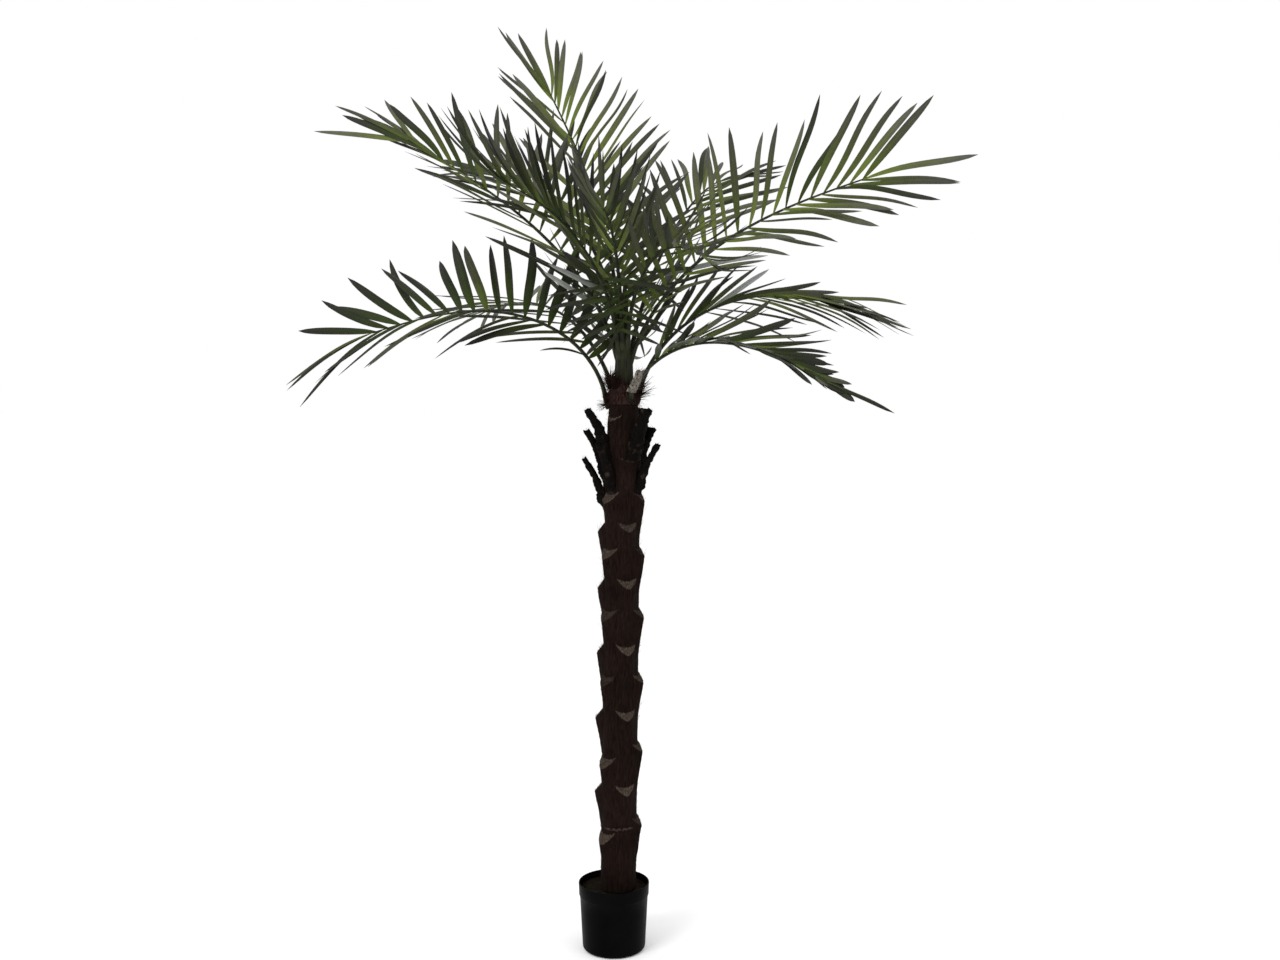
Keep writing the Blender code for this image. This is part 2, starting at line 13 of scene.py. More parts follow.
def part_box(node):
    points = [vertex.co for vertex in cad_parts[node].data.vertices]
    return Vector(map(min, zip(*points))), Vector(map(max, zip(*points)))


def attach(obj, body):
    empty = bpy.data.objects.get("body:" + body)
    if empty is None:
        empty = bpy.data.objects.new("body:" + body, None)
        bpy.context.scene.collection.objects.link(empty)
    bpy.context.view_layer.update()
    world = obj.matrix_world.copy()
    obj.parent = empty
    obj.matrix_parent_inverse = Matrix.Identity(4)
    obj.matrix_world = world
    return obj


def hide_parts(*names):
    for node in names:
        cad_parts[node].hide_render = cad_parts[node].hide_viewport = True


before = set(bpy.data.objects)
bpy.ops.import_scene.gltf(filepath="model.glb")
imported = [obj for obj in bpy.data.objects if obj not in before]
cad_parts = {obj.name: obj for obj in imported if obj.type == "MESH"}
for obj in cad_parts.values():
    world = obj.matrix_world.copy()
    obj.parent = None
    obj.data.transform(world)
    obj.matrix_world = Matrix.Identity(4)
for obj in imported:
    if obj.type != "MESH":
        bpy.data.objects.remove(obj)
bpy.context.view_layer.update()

# Nursery pot: a thin black plastic shell from a mould, with a raised band under its rim and a rounded foot.
# The pole of the palm stands in it, cast into the filler.
pot_low, pot_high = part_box("pot")
POT_HEIGHT = pot_high.z
POT_RIM_RADIUS = (pot_high.x - pot_low.x) / 2
POT_MOUTH_RADIUS = 0.0773
POT_FOOT_RADIUS = 0.0714
POT_FOOT_ROUND = 0.009
POT_BAND_HEIGHT = 0.028
POT_LIP = 0.0026
POT_WALL = 0.0022
POT_SIDES = 120
POT_DARK = (0.0009, 0.0009, 0.0009)
POT_LIGHT = (0.0021, 0.0019, 0.0019)


def add_node(tree, kind, settings=None, inputs=None):
    """A node with its settings. Each input is a value, or the output of another node."""
    made = tree.nodes.new(kind)
    for name, value in (settings or {}).items():
        setattr(made, name, value)
    for key, value in (inputs or {}).items():
        if isinstance(value, bpy.types.NodeSocket):
            tree.links.new(value, made.inputs[key])
        else:
            made.inputs[key].default_value = value
    return made


def new_finish(name, roughness, gloss=0.04):
    """A finish with nothing on it yet: the material, its node tree and its shader."""
    made = bpy.data.materials.new(name)
    made.use_nodes = True
    shader = made.node_tree.nodes["Principled BSDF"]
    shader.inputs["Roughness"].default_value = roughness
    shader.inputs["Specular IOR Level"].default_value = gloss
    return made, made.node_tree, shader


def grain(tree, scale, detail=4.0, stretch=(1.0, 1.0, 1.0), warp=0.0):
    """A noise pattern on the piece's own metres. It is finer along an axis that is stretched more."""
    place = add_node(tree, "ShaderNodeTexCoord").outputs["Object"]
    mapped = add_node(tree, "ShaderNodeMapping", inputs={"Vector": place, "Scale": stretch})
    pattern = {"Vector": mapped.outputs[0], "Scale": scale, "Detail": detail, "Distortion": warp}
    return add_node(tree, "ShaderNodeTexNoise", inputs=pattern).outputs[0]


def between(tree, share, dark, light, low=0.35, high=0.65):
    """A colour that goes from dark to light as a pattern goes from its low to its high value."""
    ramp = add_node(tree, "ShaderNodeValToRGB", inputs={"Fac": share})
    for stop, place, colour in zip(ramp.color_ramp.elements, (low, high), (dark, light)):
        stop.position = place
        stop.color = (*colour, 1.0)
    return ramp.outputs["Color"]


def ranged(tree, value, low, high, start=0.0, end=1.0):
    """A value that goes from low to high as another goes from start to end."""
    inputs = {"Value": value, "From Min": start, "From Max": end, "To Min": low, "To Max": high}
    return add_node(tree, "ShaderNodeMapRange", inputs=inputs).outputs[0]


def coat(tree, shader, colour, height=None, depth=0.0, strength=1.0):
    """Gives a finish its colour and, where it has one, its relief with its depth in metres."""
    tree.links.new(colour, shader.inputs["Base Color"])
    if height is not None:
        inputs = {"Height": height, "Distance": depth, "Strength": strength}
        tree.links.new(add_node(tree, "ShaderNodeBump", inputs=inputs).outputs[0], shader.inputs["Normal"])


def sleeve(name, rows, sides, place):
    """A skin round an axis: place(row, turn) gives a point, and the end rows are closed by a fan."""
    points = [place(row, 2 * pi * side / sides) for row in range(rows) for side in range(sides)]
    faces = []
    for row in range(rows - 1):
        for side in range(sides):
            after = (side + 1) % sides
            low, high = row * sides, (row + 1) * sides
            faces.append((low + side, low + after, high + after, high + side))
    for ring, flip in ((0, True), ((rows - 1) * sides, False)):
        points.append(sum((points[ring + side] for side in range(sides)), Vector()) / sides)
        for side in range(sides):
            pair = (ring + side, ring + (side + 1) % sides)
            faces.append((len(points) - 1, *(reversed(pair) if flip else pair)))
    mesh = bpy.data.meshes.new(name)
    mesh.from_pydata(points, [], faces)
    mesh.shade_smooth()
    return mesh


def placed(name, data):
    """An object in the scene that shows a mesh, a lamp or a camera."""
    made = bpy.data.objects.new(name, data)
    bpy.context.scene.collection.objects.link(made)
    return made


def show(mesh, finish=None):
    """Puts a mesh in the scene under its own name. A mesh that was grown brings its own finish."""
    if finish:
        mesh.materials.append(finish)
    return placed(mesh.name, mesh)


def arc(centre_radius, centre_height, reach, first, last, steps):
    """Points of a quarter or half round in a profile, by angle in degrees from straight out."""
    points = []
    for step in range(steps + 1):
        angle = radians(first + (last - first) * step / steps)
        points.append((centre_radius + reach * cos(angle), centre_height + reach * sin(angle)))
    return points


band_bottom = POT_HEIGHT - POT_BAND_HEIGHT
lip_middle = POT_RIM_RADIUS - POT_LIP / 2
inner_foot = POT_FOOT_RADIUS - POT_WALL
pot_profile = [(0.020, 0.0), (0.045, 0.0)]
pot_profile += arc(POT_FOOT_RADIUS - POT_FOOT_ROUND, POT_FOOT_ROUND, POT_FOOT_ROUND, -90, 0, 8)
for share in (0.25, 0.50, 0.75, 1.0):
    flare = (POT_MOUTH_RADIUS - POT_FOOT_RADIUS) * share
    pot_profile.append((POT_FOOT_RADIUS + flare, 0.010 + (band_bottom - 0.0115) * share))
pot_profile += [(POT_MOUTH_RADIUS + 0.0008, band_bottom - 0.0004), (POT_RIM_RADIUS - 0.0012, band_bottom)]
pot_profile += [(POT_RIM_RADIUS - 0.0008, band_bottom + 0.001), (POT_RIM_RADIUS - 0.0004, POT_HEIGHT - 0.012)]
pot_profile += arc(lip_middle, POT_HEIGHT - POT_LIP / 2, POT_LIP / 2, 0, 180, 10)
pot_profile += [(POT_RIM_RADIUS - POT_LIP, POT_HEIGHT - 0.010), (POT_MOUTH_RADIUS - POT_WALL, band_bottom)]
pot_profile += [(inner_foot, 0.009), (inner_foot - 0.004, POT_WALL), (0.020, POT_WALL)]


def around(turn, reach, height):
    """A point at a turn, reach and height round the upright axis."""
    return Vector((reach * cos(turn), reach * sin(turn), height))


def pot_point(row, turn):
    """A point of the pot's skin, with the slight unevenness of a thin moulded wall."""
    radius, height = pot_profile[row]
    wobble = 1.0 + 0.0016 * sin(2 * turn + 0.7) * height / POT_HEIGHT
    return around(turn, radius * wobble, height)


black_plastic, tree, shader = new_finish("moulded_black_plastic", 0.40, 0.02)
tree.links.new(ranged(tree, grain(tree, 45, stretch=(1, 1, 0.3)), 0.30, 0.52), shader.inputs["Roughness"])
coat(tree, shader, between(tree, grain(tree, 14), POT_DARK, POT_LIGHT), grain(tree, 900, 2.0), 0.00008)
pot = show(sleeve("pot_shell", len(pot_profile), POT_SIDES, pot_point), black_plastic)
pot.data.set_sharp_from_angle(angle=radians(50))
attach(pot, "root")
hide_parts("pot")

# Filler: cement with bark chips cast into the pot round the pole, uneven on top, a little under the rim.
filler_low, filler_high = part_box("filler")
FILLER_RADIUS = POT_MOUTH_RADIUS - POT_WALL - 0.0006
FILLER_RINGS = 34
FILLER_SIDES = 110
FILLER_LUMP = 0.0022
FILLER_DARK = (0.0025, 0.0018, 0.0009)
FILLER_LIGHT = (0.0150, 0.0105, 0.0055)


def filler_point(row, turn):
    """Under side first, then the wall, then the lumpy top from its edge to the pole."""
    if row < 2:
        radius = (0.02, POT_FOOT_RADIUS - POT_WALL - 0.005)[row]
        return around(turn, radius, filler_low.z)
    if row < 4:
        height = (0.0105, band_bottom)[row - 2]
        radius = (POT_FOOT_RADIUS - POT_WALL - 0.0008, FILLER_RADIUS)[row - 2]
        return around(turn, radius, height)
    share = (row - 4) / (FILLER_RINGS - 1)
    radius = FILLER_RADIUS * (1.0 - 0.75 * share)
    flat = around(turn, radius, 0.0)
    lump = noise(flat * 140) * 0.6 + noise(flat * 420 + Vector((5, 1, 0))) * 0.4
    return flat + Vector((0.0, 0.0, filler_high.z - FILLER_LUMP * (0.5 + lump) * min(1.0, 8 * share + 0.2)))


def mottled(name, roughness, colours, pattern, stops=(0.35, 0.65), relief=None, depth=0.0, gloss=0.04):
    """A finish of two colours by one grain, with another as its relief. A grain is its scale and the rest."""
    made, tree, shader = new_finish(name, roughness, gloss)
    colour = between(tree, grain(tree, *pattern), *colours, *stops)
    coat(tree, shader, colour, grain(tree, *relief) if relief else None, depth)
    return made


cast_filler = mottled(
    "cast_bark_filler", 0.95, (FILLER_DARK, FILLER_LIGHT), (160, 6.0), (0.35, 0.70),
    relief=(520, 5.0), depth=0.0009,
)
filler = show(sleeve("filler_top", FILLER_RINGS + 4, FILLER_SIDES, filler_point), cast_filler)
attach(filler, "root")
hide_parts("filler")

# Trunk: a pole padded out and wrapped in sheets of dark brown palm fibre. Three leaf bases stand out of it at
# each ring, and the slanted cut on top of each shows the pale inside of the fibre.
TRUNK_FOOT, TRUNK_TOP = (corner.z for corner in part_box("trunk"))
TRUNK_FOOT_X = 0.010
LEAN = 0.0118
TRUNK_RADII = (
    # height, radius
    (0.140, 0.0400),
    (0.60, 0.0398),
    (1.03, 0.0384),
    (1.10, 0.0372),
    (1.18, 0.0352),
    (1.238, 0.0325),
)
TRUNK_ROWS = 560
TRUNK_SIDES = 150
PAD_RING_TOPS = (1.041, 0.974, 0.917, 0.848, 0.779, 0.700, 0.632, 0.552, 0.445, 0.382, 0.272)
PAD_RAISED = {8: 0.030, 10: 0.034}
PADS_PER_RING = 3
PAD_FIRST_ANGLE = -137.0
PAD_RING_TURN = 67.0
PAD_HALF_WIDTH = 0.025
PAD_REACH = 0.0125
PAD_MORE_LEFT, PAD_MORE_RIGHT = 0.50, 0.12
PAD_SHOULDER = 0.016
PAD_LENGTH = 0.105
PAD_CUT_SLOPE = 1.25
PAD_ARM_RISE = 0.007
CUT_SHOWN, CUT_SWING = 0.78, 0.24
SMALL_BOOTS = ((1.118, -69.0), (1.209, -135.0), (1.150, 40.0), (1.095, 150.0), (1.185, 95.0), (1.160, -10.0))
SMALL_BOOT_REACH = 0.004
FIBRE_DARK = (0.0030, 0.0014, 0.0010)
FIBRE_BROWN = (0.0130, 0.0070, 0.0053)
FIBRE_TAN = (0.030, 0.021, 0.016)
FIBRE_PALE = (0.082, 0.064, 0.051)

Pad = namedtuple("Pad", "top angle reach")
pads = []
for ring, ring_top in enumerate(PAD_RING_TOPS):
    for place in range(PADS_PER_RING):
        turn = PAD_FIRST_ANGLE + PAD_RING_TURN * (ring % 2) + place * 360.0 / PADS_PER_RING
        raised = PAD_RAISED.get(ring, 0.0) if place == 1 else 0.0
        pads.append(Pad(ring_top + raised, radians(turn), PAD_REACH))
for height, turn in SMALL_BOOTS:
    pads.append(Pad(height, radians(turn), SMALL_BOOT_REACH))


def facing(turn):
    """The level direction at an angle."""
    return around(turn, 1.0, 0.0)


def axis_point(height):
    """The point of the leaning trunk's axis at a height."""
    return Vector((TRUNK_FOOT_X + LEAN * (height - TRUNK_FOOT), 0.0, height))


def radius_at(height, radii):
    """The radius of a turned limb at a height, between its named sections."""
    for (z0, r0), (z1, r1) in zip(radii, radii[1:]):
        if height <= z1:
            return r0 + (r1 - r0) * max(0.0, (height - z0) / (z1 - z0))
    return radii[-1][1]


def pad_outline(pad, height, turn):
    """How far a leaf base stands out of the wrap at a height and turn, and how pale its cut shows there."""
    away = (turn - pad.angle + pi) % (2 * pi) - pi
    side = abs(away) * radius_at(pad.top, TRUNK_RADII)
    drop = pad.top - height
    half = PAD_HALF_WIDTH * (1.0 - 0.55 * max(0.0, drop - PAD_SHOULDER) / PAD_LENGTH)
    if side >= half or drop > PAD_LENGTH:
        return 0.0, 0.0
    keel = 1.0 - side / half
    taper = min(1.0, (PAD_LENGTH - drop) / (PAD_LENGTH - PAD_SHOULDER))
    sided = cos(pad.angle)
    reach = pad.reach * (1.0 + (PAD_MORE_LEFT * -sided if sided < 0.0 else PAD_MORE_RIGHT * sided))
    body = reach * keel * (1.25 - 0.25 * keel) * taper
    arm = PAD_ARM_RISE * (side / PAD_HALF_WIDTH) ** 1.6
    ragged = 0.0008 * noise(Vector((side * 420, pad.top * 50, pad.angle)))
    cut = (drop + arm + ragged) / PAD_CUT_SLOPE
    if cut < 0.0:
        return 0.0, 0.0
    if cut < body:
        return cut, 1.0
    return body, max(0.0, 1.0 - (cut - body) / 0.0015)


def fibre_relief(height, turn, radius):
    """The wrap's unevenness in metres: soft lumps, then fibres that run mostly along the trunk."""
    lumps = noise(facing(turn) * radius * 28 + Vector((0, 0, height * 20)))
    slanted = facing(turn + height * 1.4) * radius
    fibres = noise(slanted * 260 + Vector((0, 0, height * 34)))
    threads = noise(slanted * 520 + Vector((9, 4, height * 120)))
    return 0.0012 * lumps + 0.0007 * fibres + 0.0004 * threads


def trunk_height(row):
    """The height of a row of the trunk's points."""
    return TRUNK_FOOT + (TRUNK_TOP - TRUNK_FOOT) * row / (TRUNK_ROWS - 1)


near_pads = []
for row in range(TRUNK_ROWS):
    near_pads.append([pad for pad in pads if -PAD_LENGTH < trunk_height(row) - pad.top < PAD_ARM_RISE])
bare_of = []


def trunk_point(row, turn):
    """A point of the wrapped trunk. Notes how pale the fibre is there."""
    height = trunk_height(row)
    core = radius_at(height, TRUNK_RADII)
    radius, bare = core, 0.0
    for pad in near_pads[row]:
        out, pale = pad_outline(pad, height, turn)
        if core + out > radius:
            radius, bare = core + out, pale * (CUT_SHOWN + CUT_SWING * sin(pad.top * 40.0 + pad.angle))
    proud = min(1.0, (radius - core) / 0.004)
    radius += fibre_relief(height, turn, core) * (0.7 + 0.6 * proud)
    bare_of.append(bare)
    return axis_point(height) + facing(turn) * radius


def mark_points(mesh, name, values):
    """Writes a number on each point of a mesh, for finishes and threads to read."""
    made = mesh.attributes.new(name, "FLOAT", "POINT")
    made.data.foreach_set("value", list(values) + [0.0] * (len(mesh.vertices) - len(values)))


def mark_all(mesh):
    """Marks a whole piece as one that loose threads may grow on."""
    mark_points(mesh, "all", [1.0] * len(mesh.vertices))


def maths(tree, operation, *values):
    """The result of a Math node."""
    return add_node(tree, "ShaderNodeMath", {"operation": operation}, dict(enumerate(values))).outputs[0]


def mixed(tree, share, first, second):
    """Two colours mixed by a share. Each is a plain colour, or the output of a node."""
    first, second = ((*colour, 1.0) if isinstance(colour, tuple) else colour for colour in (first, second))
    return add_node(tree, "ShaderNodeMix", {"data_type": "RGBA"}, {0: share, 6: first, 7: second}).outputs[2]


palm_fibre, tree, shader = new_finish("brown_palm_fibre", 0.93)
strands = grain(tree, 60, 8.0, stretch=(6, 6, 0.7), warp=0.8)
mottle = maths(tree, "ADD", strands, maths(tree, "MULTIPLY_ADD", grain(tree, 16, 4.0), 0.45, -0.10))
brown = between(tree, mottle, FIBRE_DARK, FIBRE_BROWN, 0.42, 0.82)
pale = between(tree, grain(tree, 90, 6.0, stretch=(4, 4, 0.8)), FIBRE_TAN, FIBRE_PALE, 0.40, 0.72)
bare = add_node(tree, "ShaderNodeAttribute", {"attribute_name": "tan"}).outputs["Fac"]
broken = maths(tree, "MULTIPLY", bare, ranged(tree, strands, 0.4, 1.6))
coat(
    tree, shader, mixed(tree, ranged(tree, broken, 0.0, 1.0, 0.45, 0.9), brown, pale),
    grain(tree, 110, 10.0, stretch=(6, 6, 0.8), warp=0.6), 0.0016,
)

trunk = show(sleeve("trunk_wrap", TRUNK_ROWS, TRUNK_SIDES, trunk_point), palm_fibre)
mark_points(trunk.data, "tan", bare_of)
mark_all(trunk.data)
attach(trunk, "root")
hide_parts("trunk")

# Loose fibre: threads that have worked out of the wrap lie along the trunk, and pale ones stand at the cut
# tops of the leaf bases.
THREAD_SIDES = 3
THREAD_JOINTS = 3
THREAD_DARK = (0.005, 0.0022, 0.0016)
THREAD_BROWN = (0.020, 0.010, 0.0075)


def start_tree(name, sizes):
    """A node tree that grows something on a shape, and the outputs of its named inputs."""
    made = bpy.data.node_groups.new(name, "GeometryNodeTree")
    made.is_modifier = True
    face = made.interface
    face.new_socket("Geometry", in_out="INPUT", socket_type="NodeSocketGeometry")
    for size, kind, value in sizes:
        socket = face.new_socket(size, in_out="INPUT", socket_type="NodeSocket" + kind)
        if value is not None:
            socket.default_value = value
    face.new_socket("Geometry", in_out="OUTPUT", socket_type="NodeSocketGeometry")
    return made, add_node(made, "NodeGroupInput").outputs


def vectors(tree, operation, first, second):
    """The result of a Vector Math node, which scales by a number and adds a vector."""
    inputs = {0: first, "Scale" if operation == "SCALE" else 1: second}
    return add_node(tree, "ShaderNodeVectorMath", {"operation": operation}, inputs).outputs[0]


def joined(tree, *parts):
    """A vector from its parts."""
    return add_node(tree, "ShaderNodeCombineXYZ", inputs=dict(enumerate(parts))).outputs[0]


def mark(tree, name, kind="FLOAT"):
    """What the points carry under a name."""
    return add_node(tree, "GeometryNodeInputNamedAttribute", {"data_type": kind}, {"Name": name}).outputs[0]


def marked(tree, shape, name, value, kind="FLOAT", domain="POINT"):
    """A shape with a value written on each of its points."""
    settings = {"data_type": kind, "domain": domain}
    inputs = {"Geometry": shape, "Name": name, "Value": value}
    return add_node(tree, "GeometryNodeStoreNamedAttribute", settings, inputs).outputs[0]


def moved(tree, shape, way, value):
    """A shape with its points at a Position, or moved by an Offset."""
    return add_node(tree, "GeometryNodeSetPosition", inputs={"Geometry": shape, way: value}).outputs[0]


def rod(tree, sides, joints, radius):
    """A rod of length 1 from its foot up: its mesh, the places across it, and the place along it."""
    sizes = {"Vertices": sides, "Side Segments": joints, "Radius": radius, "Depth": 1.0}
    made = add_node(tree, "GeometryNodeMeshCylinder", {"fill_type": "NGON"}, sizes).outputs["Mesh"]
    place = add_node(tree, "GeometryNodeInputPosition").outputs[0]
    x, y, z = add_node(tree, "ShaderNodeSeparateXYZ", inputs={0: place}).outputs
    return made, x, y, maths(tree, "ADD", z, 0.5)


def stood(tree, points, shape, way, side, side_axis, scale):
    """Real copies of a shape on points, each along a direction and with its side toward another."""
    axes = {"primary_axis": "Z", "secondary_axis": side_axis}
    turned = add_node(tree, "FunctionNodeAxesToRotation", axes, {"Primary Axis": way, "Secondary Axis": side})
    inputs = {"Points": points, "Instance": shape, "Rotation": turned.outputs[0], "Scale": scale}
    copies = add_node(tree, "GeometryNodeInstanceOnPoints", inputs=inputs).outputs[0]
    return add_node(tree, "GeometryNodeRealizeInstances", inputs={0: copies}).outputs[0]


def thread_tree():
    """Threads scattered over a surface where a mark on its points is high, turned into one mesh."""
    made, given = start_tree("loose_threads", (
        ("Where", "String", "all"),
        ("Threads per m2", "Float", 10000.0),
        ("Shortest", "Float", 0.006),
        ("Longest", "Float", 0.014),
        ("Thickness", "Float", 0.0003),
        ("Standing", "Float", 0.3),
        ("Grain", "Vector", (0.0, 0.0, 1.0)),
        ("Spread", "Float", 0.4),
        ("Curl", "Float", 0.3),
        ("Seed", "Int", 1),
        ("Finish", "Material", None),
    ))
    seed = given["Seed"]
    density = maths(made, "MULTIPLY", mark(made, given["Where"]), given["Threads per m2"])
    spots = add_node(
        made,
        "GeometryNodeDistributePointsOnFaces",
        {"distribute_method": "RANDOM"},
        {"Mesh": given["Geometry"], "Density": density, "Seed": seed},
    ).outputs
    ends = {"Min": (-1.0, -1.0, -1.0), "Max": (1.0, 1.0, 1.0), "Seed": seed}
    stray = add_node(made, "FunctionNodeRandomValue", {"data_type": "FLOAT_VECTOR"}, ends).outputs[0]
    out = vectors(made, "SCALE", spots["Normal"], given["Standing"])
    lift = vectors(made, "ADD", out, vectors(made, "SCALE", stray, given["Spread"]))
    way = vectors(made, "ADD", lift, given["Grain"])
    ends = {2: given["Shortest"], 3: given["Longest"], "Seed": seed}
    length = add_node(made, "FunctionNodeRandomValue", {"data_type": "FLOAT"}, ends).outputs[1]
    bend = vectors(made, "SCALE", stray, maths(made, "MULTIPLY", length, given["Curl"]))
    points = marked(made, spots["Points"], "bend", bend, "FLOAT_VECTOR")
    blank, x, y, along = rod(made, THREAD_SIDES, THREAD_JOINTS, 0.5)
    slim = ranged(made, along, 1.0, 0.25)
    pointed = joined(made, maths(made, "MULTIPLY", x, slim), maths(made, "MULTIPLY", y, slim), along)
    thread = marked(made, moved(made, blank, "Position", pointed), "along", along)
    scale = joined(made, given["Thickness"], given["Thickness"], length)
    real = stood(made, points, thread, way, spots["Normal"], "X", scale)
    squared = maths(made, "POWER", mark(made, "along"), 2.0)
    curled = moved(made, real, "Offset", vectors(made, "SCALE", mark(made, "bend", "FLOAT_VECTOR"), squared))
    dressed = add_node(
        made, "GeometryNodeSetMaterial", inputs={"Geometry": curled, "Material": given["Finish"]}
    )
    add_node(made, "NodeGroupOutput", inputs={0: dressed.outputs[0]})
    return made


def grown(name, carrier, tree, values):
    """The mesh that a node tree grows on a carrier object, as a plain mesh of its own."""
    made = placed(name + "_carrier", carrier.data)
    modifier = made.modifiers.new("Grow", "NODES")
    modifier.node_group = tree
    for socket in tree.interface.items_tree:
        if socket.in_out == "INPUT" and socket.name in values:
            modifier[socket.identifier] = values[socket.name]
    bpy.context.view_layer.update()
    mesh = bpy.data.meshes.new_from_object(made.evaluated_get(bpy.context.evaluated_depsgraph_get()))
    mesh.name = name
    bpy.data.objects.remove(made, do_unlink=True)
    return mesh


threads = thread_tree()


def loose_threads(name, carrier, finish, slot, per_m2, lengths, thickness, standing, spread, seed, **more):
    """Threads grown on a carrier, where its mark is high, as a piece of their own."""
    values = {"Where": "all", "Threads per m2": per_m2, "Shortest": lengths[0], "Longest": lengths[1]}
    values |= {"Thickness": thickness, "Standing": standing, "Spread": spread, "Seed": seed, "Finish": finish}
    made = show(grown(name, carrier, threads, values | more))
    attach(made, "root")


loose_thread = mottled("loose_brown_thread", 0.90, (THREAD_DARK, THREAD_BROWN), (70,))
pale_thread = mottled("pale_frayed_thread", 0.90, (FIBRE_TAN, FIBRE_PALE), (70,))
loose_threads(
    "trunk_threads", trunk, loose_thread, "brown_fibre",
    per_m2=9000.0, lengths=(0.006, 0.016), thickness=0.00045, standing=0.14, spread=0.25, seed=3,
)
loose_threads(
    "cut_threads", trunk, pale_thread, "brown_fibre", Where="tan",
    per_m2=45000.0, lengths=(0.002, 0.005), thickness=0.0005, standing=0.7, spread=0.6, seed=5,
)

# Lap of the wrap: the frayed edge of one sheet of fibre, seen as a pale line across the front low on the
# trunk. It is glued down, and stands a little proud at its right-hand end.
LAP_HEIGHT = 0.287
LAP_WIDTH = 0.0055
LAP_THICKNESS = 0.0012
LAP_FROM, LAP_TO = radians(-142), radians(-8)
LAP_STEPS = 70
LAP_DARK = (0.008, 0.0045, 0.0035)
LAP_PALE = (0.040, 0.029, 0.023)


def lap_mesh():
    """A thin ragged strip laid round the front of the trunk."""
    points, faces = [], []
    for step in range(LAP_STEPS + 1):
        share = step / LAP_STEPS
        turn = LAP_FROM + (LAP_TO - LAP_FROM) * share
        out = facing(turn)
        ragged = noise(Vector((step * 0.9, 2.0, 0.0)))
        half = LAP_WIDTH * (0.5 + 0.35 * ragged) * min(1.0, 6 * share + 0.2, 6 * (1 - share) + 0.5)
        height = LAP_HEIGHT + 0.0020 * noise(Vector((step * 0.23, 7.0, 0.0))) + 0.002 * share
        reach = radius_at(height, TRUNK_RADII) + 0.0016 + 0.008 * share ** 6
        middle = axis_point(height) + out * reach
        for up, thick in ((half, 0.0), (half, LAP_THICKNESS), (-half, LAP_THICKNESS), (-half, 0.0)):
            points.append(middle + Vector((0.0, 0.0, up)) + out * thick)
    for step in range(LAP_STEPS):
        low, high = 4 * step, 4 * step + 4
        for side in range(4):
            after = (side + 1) % 4
            faces.append((low + side, high + side, high + after, low + after))
    faces.append((0, 1, 2, 3))
    faces.append(tuple(4 * LAP_STEPS + side for side in (3, 2, 1, 0)))
    mesh = bpy.data.meshes.new("lap_edge")
    mesh.from_pydata(points, [], faces)
    return mesh


lap_fibre = mottled(
    "pale_lap_fibre", 0.92, (LAP_DARK, LAP_PALE), (240, 6.0), relief=(500, 4.0), depth=0.0006,
)
lap = show(lap_mesh(), lap_fibre)
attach(lap, "root")

# Stubs: old leaf stalks cut off short. Each is a black channelled stalk with a rough skin and a square end,
# and its foot is pressed into the wrap.
STUBS = (
    # azimuth, height of the foot, thickness against the usual one
    (-170, 1.022, 1.0),
    (166, 1.082, 1.2),
    (-160, 1.130, 1.35),
    (-130, 1.058, 1.0),
    (-24, 1.054, 1.05),
    (40, 1.086, 1.4),
    (-50, 1.130, 1.5),
    (62, 1.034, 1.0),
    (66, 1.128, 1.3),
    (84, 1.066, 1.0),
    (108, 1.118, 1.0),
    (138, 1.040, 1.0),
)
STUB_RADIUS = 0.0082
STUB_BODY = ((0.0, 0.0), (0.002, 0.026), (0.016, 0.061), (0.039, 0.097))
STUB_ROWS = 44
STUB_SIDES = 20
PRESS_LIMIT = 0.008
STUB_DARK = (0.0012, 0.0009, 0.0007)
STUB_LIGHT = (0.0056, 0.0042, 0.0034)
STUB_SCUFF = (0.030, 0.020, 0.015)
STUB_SUNK = 0.026
STUB_FOOT_IN = 0.006


def foot_slide(node, foot, reach):
    """How far the CAD node's foot was pressed in from where the rule puts it."""
    ring = {tuple(round(value, 5) for value in vertex.co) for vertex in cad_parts[node].data.vertices}
    near = [Vector(corner) for corner in ring if (Vector(corner) - foot).length < reach]
    return sum(near, Vector()) / len(near) - foot


def smooth_path(points, share):
    """A point of the smooth curve through a few points, at a share of its length."""
    along = share * (len(points) - 1)
    index = min(int(along), len(points) - 2)
    before = points[max(index - 1, 0)]
    start, end = points[index], points[index + 1]
    after = points[min(index + 2, len(points) - 1)]
    t = along - index
    return 0.5 * (
        2 * start
        + (end - before) * t
        + (2 * before - 5 * start + 4 * end - after) * t ** 2
        + (3 * start - before - 3 * end + after) * t ** 3
    )


